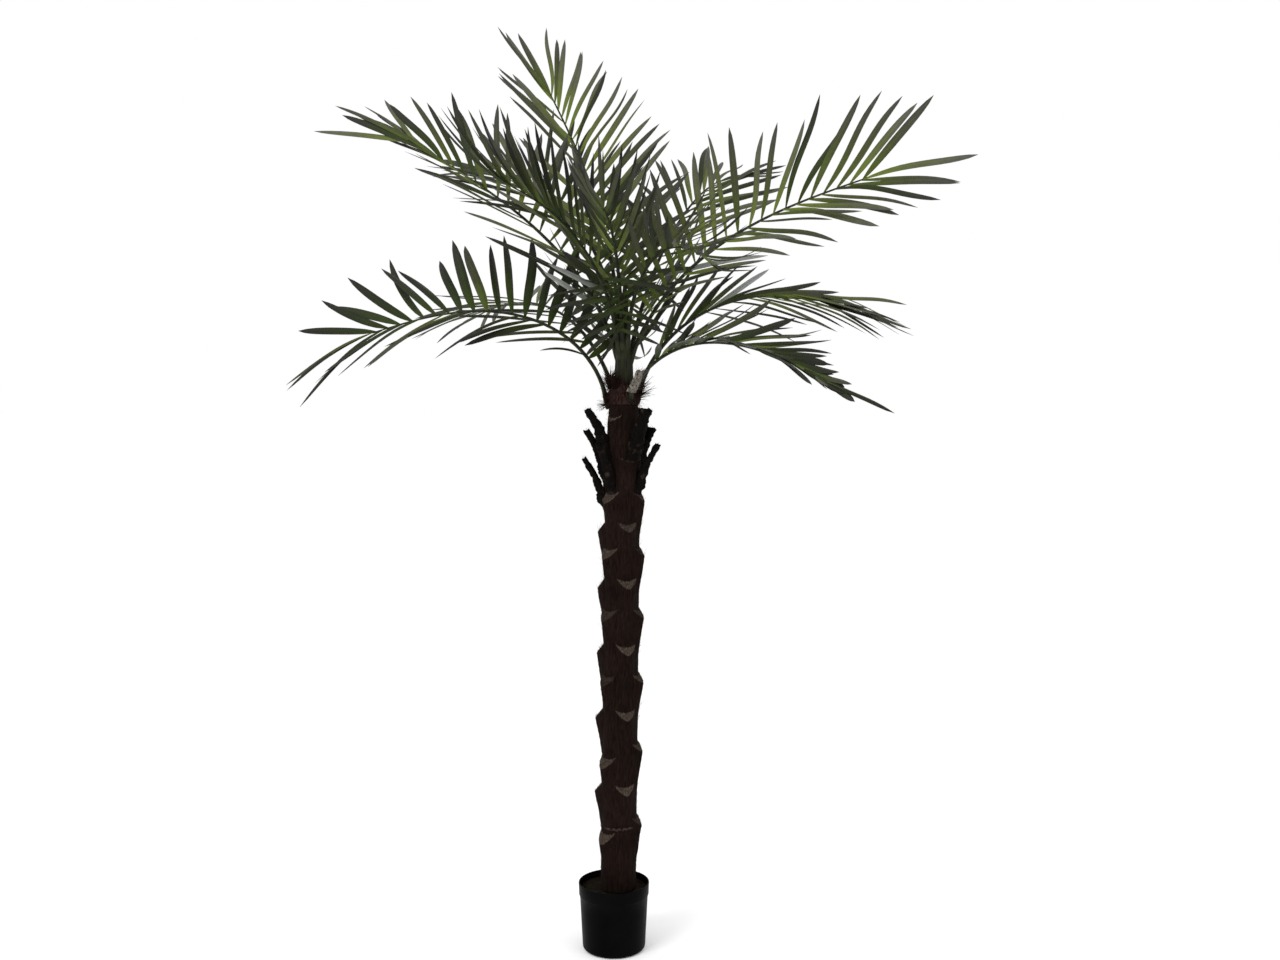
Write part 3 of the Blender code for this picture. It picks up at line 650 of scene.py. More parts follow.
def stub_mesh(number):
    """One stub: a flattened rough bar, channelled on its inner side, along the CAD stub's line."""
    azimuth, foot, stout = STUBS[number]
    angle = radians(azimuth)
    outward = facing(angle)
    sideways = Vector((-sin(angle), cos(angle), 0.0))
    across = radius_at(foot, TRUNK_RADII) + STUB_RADIUS + PRESS_LIMIT / 2
    path = [axis_point(foot + up) + outward * (across + out) for out, up in STUB_BODY]
    slide = foot_slide(f"stub_{number + 1:02d}", path[0], 0.018)
    path = [point + slide for point in path]
    path[0] -= outward * STUB_FOOT_IN
    path.insert(0, path[0] - outward * 0.012 - Vector((0.0, 0.0, STUB_SUNK)))

    def point_at(row, turn):
        share = row / (STUB_ROWS - 1)
        middle = smooth_path(path, share)
        before, after = smooth_path(path, max(0.0, share - 0.02)), smooth_path(path, min(1.0, share + 0.02))
        ahead = (after - before).normalized()
        thick = sideways.cross(ahead).normalized()
        wide = STUB_RADIUS * stout * (1.70 - 0.75 * share)
        deep = STUB_RADIUS * stout * (1.75 - 1.05 * share) * min(1.0, 0.20 + share / 0.42)
        c, s = cos(turn), sin(turn)
        channel = 0.30 * max(0.0, -s) * max(0.0, 1.0 - abs(c) * 1.4)
        rough = noise(middle * 95 + around(turn, 1.2, 4.0 * number)) * 0.40
        rough += 0.22 * noise(middle * 320 + around(turn, 2.5, number))
        size = 1.0 + rough - channel
        torn = 0.0090 * noise(around(turn, 3.0, number * 7.0)) * max(0.0, share - 0.80) / 0.20
        return middle + ahead * torn + sideways * (c * wide * size) + thick * (s * deep * size)

    mesh = sleeve(f"cut_stub_{number + 1:02d}", STUB_ROWS, STUB_SIDES, point_at)
    mark_all(mesh)
    return mesh


black_stalk, tree, shader = new_finish("rough_black_stalk", 0.85)
stalk_grain = grain(tree, 120, 8.0, stretch=(3, 3, 1), warp=0.5)
black = between(tree, stalk_grain, STUB_DARK, STUB_LIGHT, 0.35, 0.75)
scuffed = ranged(tree, grain(tree, 34, 5.0), 0.0, 1.0, 0.60, 0.72)
coat(tree, shader, mixed(tree, scuffed, black, STUB_SCUFF), grain(tree, 420, 6.0), 0.0012)
for number in range(len(STUBS)):
    stub = show(stub_mesh(number), black_stalk)
    stub.data.set_sharp_from_angle(angle=radians(60))
    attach(stub, "root")
    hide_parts(f"stub_{number + 1:02d}")
    loose_threads(
        f"stub_hairs_{number + 1:02d}", stub, black_stalk, "black_stalk",
        per_m2=26000.0, lengths=(0.003, 0.008), thickness=0.0006, standing=0.7, spread=0.5, seed=20 + number,
    )

# Crown shaft: the bundle of green leaf stalks that come up out of the collar, pressed together and sheathed.
shaft_low, shaft_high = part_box("crown_shaft")
SHAFT_BOTTOM, SHAFT_TOP = shaft_low.z, shaft_high.z
SHAFT_RADII = ((SHAFT_BOTTOM, 0.0200), (1.30, 0.0160), (1.36, 0.0130), (1.43, 0.0100), (1.50, 0.0040))
SHAFT_ROWS = 70
SHAFT_SIDES = 72
STALK_RADIUS = 0.0085
SHAFT_GREEN = (0.0170, 0.0185, 0.0080)
SHAFT_DARK = (0.0035, 0.0038, 0.0020)

Frond = namedtuple("Frond", "azimuth seat height rise tip bend roll spread sweep lean lift length leaflet")
FRONDS = (
    Frond(122, 112, 1.345, 89, 48, 1.8, -17, 59, 43, -4, 26, 0.72, 0.248),
    Frond(156, 170, 1.352, 73, 30, 2.3, -43, 50, 70, -9, 22, 0.75, 0.246),
    Frond(176, 180, 1.25, 80, -17, 1.9, -38, 60, 44, -12, 8, 0.62, 0.205),
    Frond(-21, -14, 1.345, 70, 16, 1.8, 64, 69, 38, 2, 25, 0.65, 0.239),
    Frond(22, 24, 1.262, 76, -1, 1.8, 31, 46, 60, -21, 3, 0.56, 0.229),
    Frond(-40, -62, 1.268, 56, -22, 1.9, 13, 48, 50, 0, 46, 0.52, 0.185),
    Frond(56, 40, 1.35, 70, 14, 0.7, 20, 65, 63, 1, 9, 0.6, 0.265),
    Frond(136, 142, 1.375, 86, 16, 1.3, -31, 68, 56, -6, 17, 0.59, 0.265),
    Frond(125, 125, 1.262, 61, -8, 1.5, -12, 72, 56, 6, 14, 0.66, 0.271),
    Frond(-66, -64, 1.375, 86, -22, 1.5, 15, 58, 44, 0, 14, 0.50, 0.18),
    Frond(-96, -104, 1.370, 84, 6, 1.3, 0, 56, 44, 0, 16, 0.44, 0.18),
    Frond(-128, -130, 1.350, 84, 14, 1.3, -5, 58, 44, 0, 16, 0.50, 0.20),
    Frond(90, 76, 1.262, 74, -24, 1.8, -11, 68, 55, -3, 29, 0.62, 0.268),
)


def shaft_point(row, turn):
    """A point of the bundle: the core, or whichever pressed stalk stands furthest out there."""
    height = SHAFT_BOTTOM + (SHAFT_TOP - SHAFT_BOTTOM) * row / (SHAFT_ROWS - 1)
    radius = radius_at(height, SHAFT_RADII)
    for frond in FRONDS:
        if frond.height < 1.30 or height > frond.height + 0.030:
            continue
        away = (turn - radians(frond.seat) + pi) % (2 * pi) - pi
        size = STALK_RADIUS * min(1.0, (frond.height + 0.030 - height) / 0.025)
        middle = radius_at(height, SHAFT_RADII) * 0.80
        inside = size ** 2 - (middle * sin(away)) ** 2
        if inside > 0 and cos(away) > 0:
            radius = max(radius, middle * cos(away) + sqrt(inside))
    radius += 0.0004 * noise(around(turn, 6, height * 60))
    return axis_point(height) + facing(turn) * radius


green_sheath = mottled(
    "dull_green_sheath", 0.62, (SHAFT_DARK, SHAFT_GREEN), (50, 6.0, (5, 5, 0.5)), (0.30, 0.62),
    relief=(160, 4.0, (5, 5, 0.4)), depth=0.0005, gloss=0.10,
)
shaft = show(sleeve("stalk_bundle", SHAFT_ROWS, SHAFT_SIDES, shaft_point), green_sheath)
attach(shaft, "root")
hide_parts("crown_shaft")

# Collar: a sleeve of loose red-brown palm fibre tied round the foot of the crown shaft, ragged at both ends.
collar_low, collar_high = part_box("collar")
COLLAR_RADIUS = 0.0345
COLLAR_TOP = collar_high.z
COLLAR_FRINGE = 0.016
COLLAR_ROWS = 70
COLLAR_SIDES = 110
COLLAR_DARK = (0.0060, 0.0026, 0.0020)
COLLAR_RED = (0.0400, 0.0215, 0.0175)
COLLAR_TUFTS = (
    # name, azimuth, height, reach of the patch, the way its threads go, the longest
    ("top", -135, 1.286, 0.018, (-0.20, -0.2, 1.0), 0.026),
    ("back", 150, 1.286, 0.018, (-0.20, 0.2, 1.0), 0.022),
    ("shoulder", -172, 1.250, 0.014, (-0.7, 0.0, 0.8), 0.014),
    ("left", -172, 1.236, 0.010, (-1.0, 0.0, 0.0), 0.030),
    ("right", -12, 1.262, 0.013, (0.9, 0.0, 0.8), 0.028),
)


def collar_point(row, turn):
    """Outside of the collar from its foot up, over its ragged lip, and down the inside."""
    share = row / (COLLAR_ROWS - 1)
    edge = noise(around(turn, 4.0, 3.0))
    fine = noise(around(turn, 22.0, 1.0))
    top = COLLAR_TOP - 0.011 + 0.009 * edge + 0.005 * fine
    up = min(1.0, share / 0.72)
    height = collar_low.z + (top - collar_low.z) * up
    waist = 0.0022 * sin(pi * up)
    radius = COLLAR_RADIUS - waist + 0.0008 * up
    if share > 0.72:
        down = (share - 0.72) / 0.28
        height = top - 0.020 * down
        radius -= 0.0040 * min(1.0, 3 * down) + 0.004 * down
    folds = noise(around(turn, 3.0, height * 30))
    fibre = noise(around(turn, 16.0, height * 60))
    radius += 0.0014 * folds + 0.0008 * fibre
    return axis_point(height) + facing(turn) * radius


red_fibre = mottled(
    "red_brown_fibre", 0.95, (COLLAR_DARK, COLLAR_RED), (70, 10.0, (4, 4, 1.2), 1.2), (0.38, 0.70),
    relief=(180, 8.0, (3, 3, 0.8), 1.0), depth=0.0018,
)
collar = show(sleeve("fibre_collar", COLLAR_ROWS, COLLAR_SIDES, collar_point), red_fibre)
lip = COLLAR_TOP - COLLAR_FRINGE
fringed = [max(0.0, (vertex.co.z - lip) / COLLAR_FRINGE) + 0.05 for vertex in collar.data.vertices]
mark_points(collar.data, "fringe", fringed)
mark_all(collar.data)
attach(collar, "root")
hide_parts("collar")
loose_threads(
    "collar_fringe", collar, red_fibre, "red_brown_fibre", Where="fringe",
    per_m2=220000.0, lengths=(0.008, 0.022), thickness=0.0005, standing=0.55, spread=0.65, seed=51,
)
loose_threads(
    "collar_threads", collar, red_fibre, "red_brown_fibre", Grain=(0.0, 0.0, -0.8),
    per_m2=60000.0, lengths=(0.006, 0.014), thickness=0.0005, standing=0.35, spread=0.8, seed=52,
)
for name, azimuth, height, reach, way, longest in COLLAR_TUFTS:
    middle = axis_point(height) + facing(radians(azimuth)) * COLLAR_RADIUS
    near = [float((vertex.co - middle).length < reach) for vertex in collar.data.vertices]
    mark_points(collar.data, name, near)
    loose_threads(
        f"collar_tuft_{name}", collar, loose_thread, "red_brown_fibre", Where=name, Grain=way,
        per_m2=110000.0, lengths=(longest * 0.5, longest), thickness=0.0022,
        standing=0.20, spread=0.24, seed=60,
    )

# Fronds: each has a stalk of plastic-coated wire that tapers into the rib, by the same rule as the solids.
# Its foot stands in the bundle, or in the collar where it starts under the bundle's stalks.
COLLAR_LEVEL = 1.300
RIB_STEPS = 36
RIB_SIDES = 10
RIB_FOOT_RADIUS = 0.0050
RIB_TIP_RADIUS = 0.0017
RIB_TAPER = 1.1
RIB_FOOT_SUNK = (0.006, 0.022)
RIB_GREEN = (0.0200, 0.0240, 0.0090)
RIB_DARK = (0.0060, 0.0070, 0.0035)


def rib_direction(frond, share):
    """The rib's direction at a share of its length."""
    slope = radians(frond.tip + (frond.rise - frond.tip) * (1.0 - share) ** frond.bend)
    way = radians(frond.azimuth)
    return Vector((cos(way) * cos(slope), sin(way) * cos(slope), sin(slope)))


def rib_radius(share):
    """The rib's radius at a share of its length: a quick taper off the stalk, then a slim rib."""
    return RIB_TIP_RADIUS + (RIB_FOOT_RADIUS - RIB_TIP_RADIUS) * (1.0 - share) ** RIB_TAPER


def rib_points(number, frond):
    """The rib's points from its seat to its tip, moved to where the CAD frond was pressed to."""
    seat = radians(frond.seat)
    carrier = COLLAR_RADIUS if frond.height < COLLAR_LEVEL else radius_at(frond.height, SHAFT_RADII)
    outward = facing(seat)
    place = axis_point(frond.height) + outward * (carrier + RIB_FOOT_RADIUS)
    place = place + foot_slide(f"frond_{number + 1:02d}", place, 0.020)
    points = [place.copy()]
    for step in range(RIB_STEPS):
        place = place + rib_direction(frond, (step + 0.5) / RIB_STEPS) * (frond.length / RIB_STEPS)
        points.append(place.copy())
    return points


def rib_place(points, share):
    """The point of the rib at a share of its length."""
    along = share * (len(points) - 1)
    index = min(int(along), len(points) - 2)
    return points[index].lerp(points[index + 1], along - index)


def blade_frame(frond, along):
    """The blade's left and up directions at a point of the rib, turned by the frond's roll."""
    way = radians(frond.azimuth)
    left = Vector((-sin(way), cos(way), 0.0))
    up = along.cross(left)
    turn = radians(frond.roll)
    return left * cos(turn) + up * sin(turn), up * cos(turn) - left * sin(turn)


def rib_mesh(number, frond, points):
    """The stalk and rib: flat and channelled above, round below, with a wide foot that ends in the bundle."""
    inward = -facing(radians(frond.seat))
    buried = points[0] + inward * RIB_FOOT_SUNK[0] - Vector((0.0, 0.0, RIB_FOOT_SUNK[1]))

    def point_at(row, turn):
        share = max(0, row - 1) / RIB_STEPS
        along = rib_direction(frond, share)
        left, up = blade_frame(frond, along)
        radius = rib_radius(share) * (1.0 + 0.35 * exp(-share * frond.length / 0.020))
        c, s = cos(turn), sin(turn)
        flat = 0.62 if s > 0 else 1.0
        channel = 0.22 * max(0.0, s) * max(0.0, 1.0 - abs(c) * 1.6)
        middle = points[row - 1] if row else buried
        return middle + left * (c * radius * 1.08) + up * (s * radius * (flat - channel))

    return sleeve(f"rib_{number + 1:02d}", RIB_STEPS + 2, RIB_SIDES, point_at)


stalk_green = mottled(
    "dark_green_stalk", 0.48, (RIB_DARK, RIB_GREEN), (60, 4.0), relief=(700, 2.0), depth=0.0002, gloss=0.12,
)
rib_lines = [rib_points(number, frond) for number, frond in enumerate(FRONDS)]
rib_meshes = [rib_mesh(number, frond, rib_lines[number]) for number, frond in enumerate(FRONDS)]
for number, mesh in enumerate(rib_meshes):
    rib = show(mesh, stalk_green)
    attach(rib, "root")
    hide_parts(f"frond_{number + 1:02d}")

# Leaflets: long pointed blades of green leaf cloth on a wire, a little folded down at both sides of the
# midrib. They grow by the solids' rule, with more and finer pairs, and keep clear of the limbs and of other
# fronds.
BARE_STALK = 0.100
LEAFLET_WIDTH = 0.0150
LEAFLET_THICKNESS = 0.0008
LEAFLET_BELT = 0.40
LEAFLET_STAGGER = 0.25
LEAFLET_SUNK = 0.001
SHORT_AT_FOOT = 0.6
ANGLE_JITTER = 5.0
LIFT_JITTER = 8.0
ROLL_JITTER = 16.0
LEAFLET_WAVE = 0.018
LOWEST_BEHIND = 1.37
LENGTH_RANGE = (0.92, 1.06)
WIDTH_RANGE = (0.84, 1.10)
LEAFLET_SWINGS = (
    # change of angle, change of lift, share of the length
    (0, 0, 1.0),
    (0, 14, 1.0),
    (0, -14, 1.0),
    (-14, 0, 1.0),
    (8, 0, 0.85),
    (0, 24, 0.70),
    (-24, 0, 0.55),
)
BLADE_JOINTS = 12
BLADE_OUTLINE = ((0.0, 0.22), (0.06, 0.46), (0.2, 0.82), (0.42, 1.0), (0.70, 0.95), (0.89, 0.62), (1.0, 0.04))
BLADE_FOLD = 0.16
BLADE_ROUGH_HALF = 0.002
LEAF_VEINS = 75.0
# Dim and deep greens are partly painted shade, fresh partly painted light; each frond's shares follow its
# light.
LEAF_GREENS = {
    # foot, blade and tip of each kind; the pale kind is painted glare, a grey-white highlight on the cloth
    "dim": ((0.0170, 0.0280, 0.0030), (0.0120, 0.0160, 0.0052), (0.0150, 0.0140, 0.0140)),
    "deep": ((0.0250, 0.0400, 0.0042), (0.0190, 0.0240, 0.0088), (0.0240, 0.0225, 0.0225)),
    "middle": ((0.0580, 0.0810, 0.0100), (0.0415, 0.0468, 0.0200), (0.0450, 0.0430, 0.0420)),
    "fresh": ((0.1000, 0.1350, 0.0180), (0.0760, 0.0860, 0.0360), (0.0720, 0.0690, 0.0680)),
    "pale": ((0.1000, 0.1200, 0.0700), (0.2100, 0.2200, 0.2000), (0.2800, 0.2800, 0.2800)),
}
SHADED_DEEP, PAINTED_GLARE = 1, 4
# The leaflets that get the pale kind: a painted highlight that stands for glare on them.
PAINTED_GLARE_LEAFLETS = (
    # frond, share of the rib, side
    (7, 0.321, -1),
    (5, 0.459, 1),
    (5, 0.604, -1),
    (2, 0.145, 1),
    (8, 0.184, 1),
)
# How each frond is dressed: pairs, shares of dim, deep and fresh green (painted shade and painted light per
# frond, on top of random tone), and least and most droop. Then which side is the low one (1 left, -1 right, 0
# both), and the droop, the share kept and the width there. Then the sideways curl, the twist in degrees, the
# width, and the share of the angle on the low and on the other side.
Dress = namedtuple(
    "Dress", "pairs dim deep fresh droop low hang kept slim curl twist width open",
    defaults=(0, (0.0, 0.0), 0.8, 1.0, 0.06, 30, 0.95, (1.0, 1.0)),
)
DRESSES = (
    Dress(25, 0.0, 0.06, 0.52, (0.03, 0.15), 1, (0.0, 0.08), 0.55, 1.55, 0.06, 22, 0.84),
    Dress(20, 0.0, 0.42, 0.18, (0.02, 0.13), 1, (0.04, 0.16), 0.85, 0.85, 0.06, 25, 1.05, (1.0, 1.5)),
    Dress(19, 0.55, 0.4, 0.0, (-0.22, 0.04), 1, (0.16, 0.40), 0.5, 0.7, 0.14, 35, 1.35, (1.0, 1.22)),
    Dress(20, 0.0, 0.22, 0.3, (0.03, 0.12), -1, (0.06, 0.18), 0.85, 0.9, 0.05, 25, 0.98, (0.72, 1.0)),
    Dress(22, 0.0, 0.4, 0.15, (0.04, 0.16), -1, (0.12, 0.34), 0.7, 0.75, 0.05, 25, 0.90),
    Dress(24, 0.25, 0.4, 0.12, (-0.08, 0.12), -1, (0.02, 0.22), 0.9, 0.95, 0.1, 30, 1.05, (0.85, 0.8)),
    Dress(17, 0.0, 0.25, 0.35, (0.05, 0.20)),
    Dress(18, 0.0, 0.30, 0.30, (0.00, 0.15), kept=0.9),
    Dress(15, 0.0, 0.40, 0.15, (0.05, 0.25)),
    Dress(24, 0.1, 0.45, 0.12, (-0.35, -0.05), width=0.68, open=(0.62, 0.62)),
    Dress(24, 0.1, 0.35, 0.20, (-0.45, -0.15), width=0.66, open=(0.62, 0.62)),
    Dress(24, 0.1, 0.35, 0.20, (-0.45, -0.15), width=0.68, open=(0.62, 0.62)),
    Dress(16, 0.0, 0.35, 0.20, (-0.50, -0.25), kept=0.9),
)
# The lowest leaflets of the front fronds start closer to the stalk's foot, are dim or deep green as painted
# shade, and point down past the shaft.
FRONT_FRONDS = (9, 10, 11)
FRONT_BARE_STALK = 0.055
FRONT_HANG_SHARE = 0.36
FRONT_HANG = (0.02, 0.16)
FRONT_HANG_OPEN = (1.7, 2.4)
# The low front frond on the right lies flatter and thins out to short leaflets toward its tip.
SHORT_ENDED = 5
SHORT_END = 0.55
SHORT_ENDED_LIFT = 0.45


def leaflet_tree():
    """Blades stood on points by their marks, then bent, waved and twisted to their tips, a green for each."""
    made, given = start_tree("palm_leaflets", [
        ("Joints", "Int", BLADE_JOINTS),
        ("Fold", "Float", BLADE_FOLD),
        ("Thickness to width", "Float", LEAFLET_THICKNESS / LEAFLET_WIDTH),
        *((shade, "Material", None) for shade in LEAF_GREENS),
    ])
    blank, x, y, along = rod(made, 4, given["Joints"], 1.0)
    outline = add_node(made, "ShaderNodeFloatCurve", inputs={"Value": along})
    curve = outline.mapping.curves[0]
    while len(curve.points) < len(BLADE_OUTLINE):
        curve.points.new(0.5, 0.5)
    for stop, spot in zip(curve.points, BLADE_OUTLINE):
        stop.location = spot
    outline.mapping.update()
    across = maths(made, "MULTIPLY", x, maths(made, "MULTIPLY", outline.outputs[0], 0.5))
    fold = maths(made, "MULTIPLY", given["Fold"], 2.0)
    sag = maths(made, "MULTIPLY", maths(made, "ABSOLUTE", across), fold)
    thick = maths(made, "MULTIPLY", y, maths(made, "MULTIPLY", given["Thickness to width"], 0.5))
    height = maths(made, "SUBTRACT", maths(made, "MULTIPLY", thick, ranged(made, along, 1.5, 0.5)), sag)
    flat = joined(made, maths(made, "MULTIPLY_ADD", x, 0.5, 0.5), along)
    blade = marked(made, blank, "UVMap", flat, "FLOAT2", "CORNER")
    blade = marked(made, marked(made, blade, "along", along), "across", across)
    blade = moved(made, blade, "Position", joined(made, across, height, along))
    width = mark(made, "width")
    scale = joined(made, width, width, mark(made, "length"))
    way, face = mark(made, "way", "FLOAT_VECTOR"), mark(made, "face", "FLOAT_VECTOR")
    last = stood(made, given["Geometry"], blade, way, face, "Y", scale)
    done = mark(made, "along")
    for name, amount in (
        ("bend", maths(made, "POWER", done, 2.0)),
        ("wave", maths(made, "SINE", maths(made, "MULTIPLY", done, 2 * pi))),
        ("twist", maths(made, "MULTIPLY", done, mark(made, "across"))),
    ):
        last = moved(made, last, "Offset", vectors(made, "SCALE", mark(made, name, "FLOAT_VECTOR"), amount))
    for number, shade in enumerate(LEAF_GREENS):
        inputs = {0: mark(made, "green"), 1: float(number), "Epsilon": 0.1}
        chosen = add_node(made, "FunctionNodeCompare", {"data_type": "FLOAT", "operation": "EQUAL"}, inputs)
        inputs = {"Geometry": last, "Selection": chosen.outputs[0], "Material": given[shade]}
        last = add_node(made, "GeometryNodeSetMaterial", inputs=inputs).outputs[0]
    add_node(made, "NodeGroupOutput", inputs={0: last})
    return made


def leaflet_rows(frond, pairs, seed):
    """Each leaflet's share of the rib, its side, its angle to the rib, its lift and its length."""
    chance = random.Random(seed)
    rows = []
    first = (FRONT_BARE_STALK if seed in FRONT_FRONDS else BARE_STALK) / frond.length
    for pair in range(pairs):
        for side in (-1, 1):
            step = (pair + (LEAFLET_STAGGER if side > 0 else 0.0)) / (pairs - 1 + LEAFLET_STAGGER)
            share = first + (1.0 - first) * step
            angle = frond.spread + side * frond.lean - frond.sweep * share ** 2
            angle += chance.uniform(-ANGLE_JITTER, ANGLE_JITTER)
            lift = frond.lift + chance.uniform(-LIFT_JITTER, LIFT_JITTER)
            length = frond.leaflet * min(1.0, SHORT_AT_FOOT + 3.0 * step) * chance.uniform(*LENGTH_RANGE)
            rows.append((share, side, angle, lift, length))
    rows.append((1.0, 1, 0.0, 0.0, frond.leaflet))
    return rows


def search_tree(points, faces):
    """The box that some faces fill, and a search tree of them."""
    low = [min(point[axis] for point in points) for axis in range(3)]
    high = [max(point[axis] for point in points) for axis in range(3)]
    return low, high, BVHTree.FromPolygons(points, faces)


def blade_tree(root, way, face, length, width, bend):
    """A search tree of a leaflet's rough shape: pointed at both ends, widest at its belt."""
    across = face.cross(way).normalized()
    belt = root + way * (length * LEAFLET_BELT) + bend * LEAFLET_BELT ** 2
    thick = face * BLADE_ROUGH_HALF
    sides = [belt + across * width / 2, belt + thick, belt - across * width / 2, belt - thick]
    faces = []
    for side in range(4):
        after = 2 + (side + 1) % 4
        faces += [(0, 2 + side, after), (1, after, 2 + side)]
    return search_tree([root, root + way * length + bend, *sides], faces)


def mesh_tree(mesh):
    """A search tree of a piece's own faces."""
    faces = [tuple(face.vertices) for face in mesh.polygons]
    return search_tree([vertex.co for vertex in mesh.vertices], faces)


def is_clear(owner, blade, standing):
    """Whether a leaflet touches nothing that another frond or a limb owns."""
    low, high, shape = blade
    for other, other_low, other_high, other_shape in standing:
        if other == owner:
            continue
        if any(low[axis] > other_high[axis] or high[axis] < other_low[axis] for axis in range(3)):
            continue
        if shape.overlap(other_shape):
            return False
    return True


def leaflet_points(number, frond, line, standing):
    """The frond's leaflets as marked points; one that can't be swung clear is left out."""
    chance = random.Random(100 + number)
    dress = DRESSES[number]
    roots = []
    marks = {name: [] for name in ("way", "face", "bend", "wave", "twist", "width", "length", "green")}
    for share, side, angle, lift, full in leaflet_rows(frond, dress.pairs, number):
        along = rib_direction(frond, share)
        left, up = blade_frame(frond, along)
        root = rib_place(line, share) - along * LEAFLET_SUNK + up * (rib_radius(share) * 0.3)
        width = LEAFLET_WIDTH * dress.width * chance.uniform(*WIDTH_RANGE)
        width *= min(1.0, 0.35 + full / frond.leaflet)
        curl = chance.uniform(-dress.curl, dress.curl)
        is_low = dress.low in (0, side)
        hangs = number in FRONT_FRONDS and share < FRONT_HANG_SHARE
        droop = chance.uniform(*(dress.hang if dress.low == side else dress.droop))
        opened = dress.open[0 if is_low else 1]
        if hangs:
            droop, opened = chance.uniform(*FRONT_HANG), chance.uniform(*FRONT_HANG_OPEN)
        waved = chance.uniform(-LEAFLET_WAVE, LEAFLET_WAVE)
        twist = radians(chance.uniform(-dress.twist, dress.twist))
        rolled = radians(chance.uniform(-ROLL_JITTER, ROLL_JITTER))
        # Dim and deep shares darken a frond as painted shade, the fresh share lightens it as painted light.
        shares = (dress.dim, dress.deep, 1.0 - dress.dim - dress.deep - dress.fresh, dress.fresh)
        green = chance.choices(range(4), shares)[0]
        # Hanging leaflets take only dim or deep green: painted shade.
        if hangs:
            green = min(green, SHADED_DEEP)
        # A few listed leaflets get the pale kind: painted glare.
        for one, place, way in PAINTED_GLARE_LEAFLETS:
            if number == one - 1 and side == way and abs(share - place) < 0.01:
                green = PAINTED_GLARE
        if chance.random() > (dress.kept if is_low and angle else 1.0):
            continue
        width *= dress.slim if is_low else 1.0
        for swing, raise_by, shorter in LEAFLET_SWINGS:
            turn = radians((angle + swing) * opened if angle else 0.0)
            rise = radians(lift * (SHORT_ENDED_LIFT if number == SHORT_ENDED else 1.0) + raise_by)
            outward = left * (side * cos(rise)) + up * sin(rise)
            way = along * cos(turn) + outward * sin(turn)
            face = (up * cos(rise) - left * (side * sin(rise))).normalized()
            face = (face - way * face.dot(way)).normalized()
            length = full * shorter
            if number == SHORT_ENDED and angle:
                length *= 1.0 - (1.0 - SHORT_END) * min(1.0, max(0.0, share - 0.60) / 0.30)
            across = face.cross(way)
            bend = Vector((0.0, 0.0, -droop * length)) + across * (curl * length)
            if 0 < frond.azimuth < 140 and (root + way * length + bend).z < LOWEST_BEHIND:
                break
            blade = blade_tree(root, way, face, length, width, bend)
            if is_clear(number, blade, standing):
                standing.append((number, *blade))
                roots.append(root)
                face = Matrix.Rotation(rolled, 3, way) @ face
                values = {"way": way, "face": face, "bend": bend, "width": width, "length": length}
                values["wave"] = (across * 0.6 + face * 0.8) * (waved * length)
                values["twist"] = face * (width * tan(twist))
                values["green"] = green
                for name, value in values.items():
                    marks[name].append(value)
                break
    mesh = bpy.data.meshes.new(f"leaflet_roots_{number + 1:02d}")
    mesh.from_pydata(roots, [], [])
    for name, values in marks.items():
        if isinstance(values[0], Vector):
            made = mesh.attributes.new(name, "FLOAT_VECTOR", "POINT")
            made.data.foreach_set("vector", [part for value in values for part in value])
        else:
            mark_points(mesh, name, values)
    return mesh


def leaf_finish(name, foot, blade, tip):
    """Printed leaf cloth: fresh at the foot, greyer to the tip and the edges, with fine veins along it."""
    made, tree, shader = new_finish(name, 0.45, 0.10)
    flat = add_node(tree, "ShaderNodeUVMap", {"uv_map": "UVMap"}).outputs[0]
    x, y, z = add_node(tree, "ShaderNodeSeparateXYZ", inputs={0: flat}).outputs
    along = maths(tree, "ADD", y, ranged(tree, grain(tree, 9, 3.0), -0.30, 0.30))
    body = mixed(tree, ranged(tree, along, 0.0, 1.0, 0.05, 0.50), foot, blade)
    body = mixed(tree, ranged(tree, along, 0.0, 1.0, 0.50, 1.00), body, tip)
    off_middle = maths(tree, "PINGPONG", x, 0.5)
    body = mixed(tree, ranged(tree, off_middle, 0.0, 0.55, 0.40, 0.49), body, foot)
    body = mixed(tree, ranged(tree, off_middle, 0.0, 0.5, 0.12, 0.0), body, tip)
    worn = vectors(tree, "SCALE", body, ranged(tree, grain(tree, 60, 4.0), 0.75, 1.25))
    coat(tree, shader, worn, maths(tree, "SINE", maths(tree, "MULTIPLY", x, LEAF_VEINS)), 0.0002, 0.5)
    return made


greens = {shade: leaf_finish(f"leaf_{shade}", *colours) for shade, colours in LEAF_GREENS.items()}
standing = [("limb", *mesh_tree(limb.data)) for limb in (trunk, collar, shaft)]
standing += [(number, *mesh_tree(mesh)) for number, mesh in enumerate(rib_meshes)]
leaflets = leaflet_tree()
for number, frond in enumerate(FRONDS):
    roots = show(leaflet_points(number, frond, rib_lines[number], standing))
    blades = show(grown(f"leaflets_{number + 1:02d}", roots, leaflets, greens))
    bpy.data.objects.remove(roots, do_unlink=True)
    blades.data.shade_smooth()
    blades.data.set_sharp_from_angle(angle=radians(80))
    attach(blades, "root")
    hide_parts(f"frond_{number + 1:02d}")

# Sheath: a strip of beige woven leaf cloth left round the foot of the front frond's stalk, frayed at its top.
SHEATH_FROND = 5
SHEATH_LENGTH = 0.064
SHEATH_WIDTHS = (0.025, 0.016)
SHEATH_LEAN = 0.020
SHEATH_SPREAD = 1.35
SHEATH_ROWS = 40
SHEATH_SIDES = 44
SHEATH_DARK = (0.030, 0.026, 0.020)
SHEATH_LIGHT = (0.300, 0.275, 0.235)


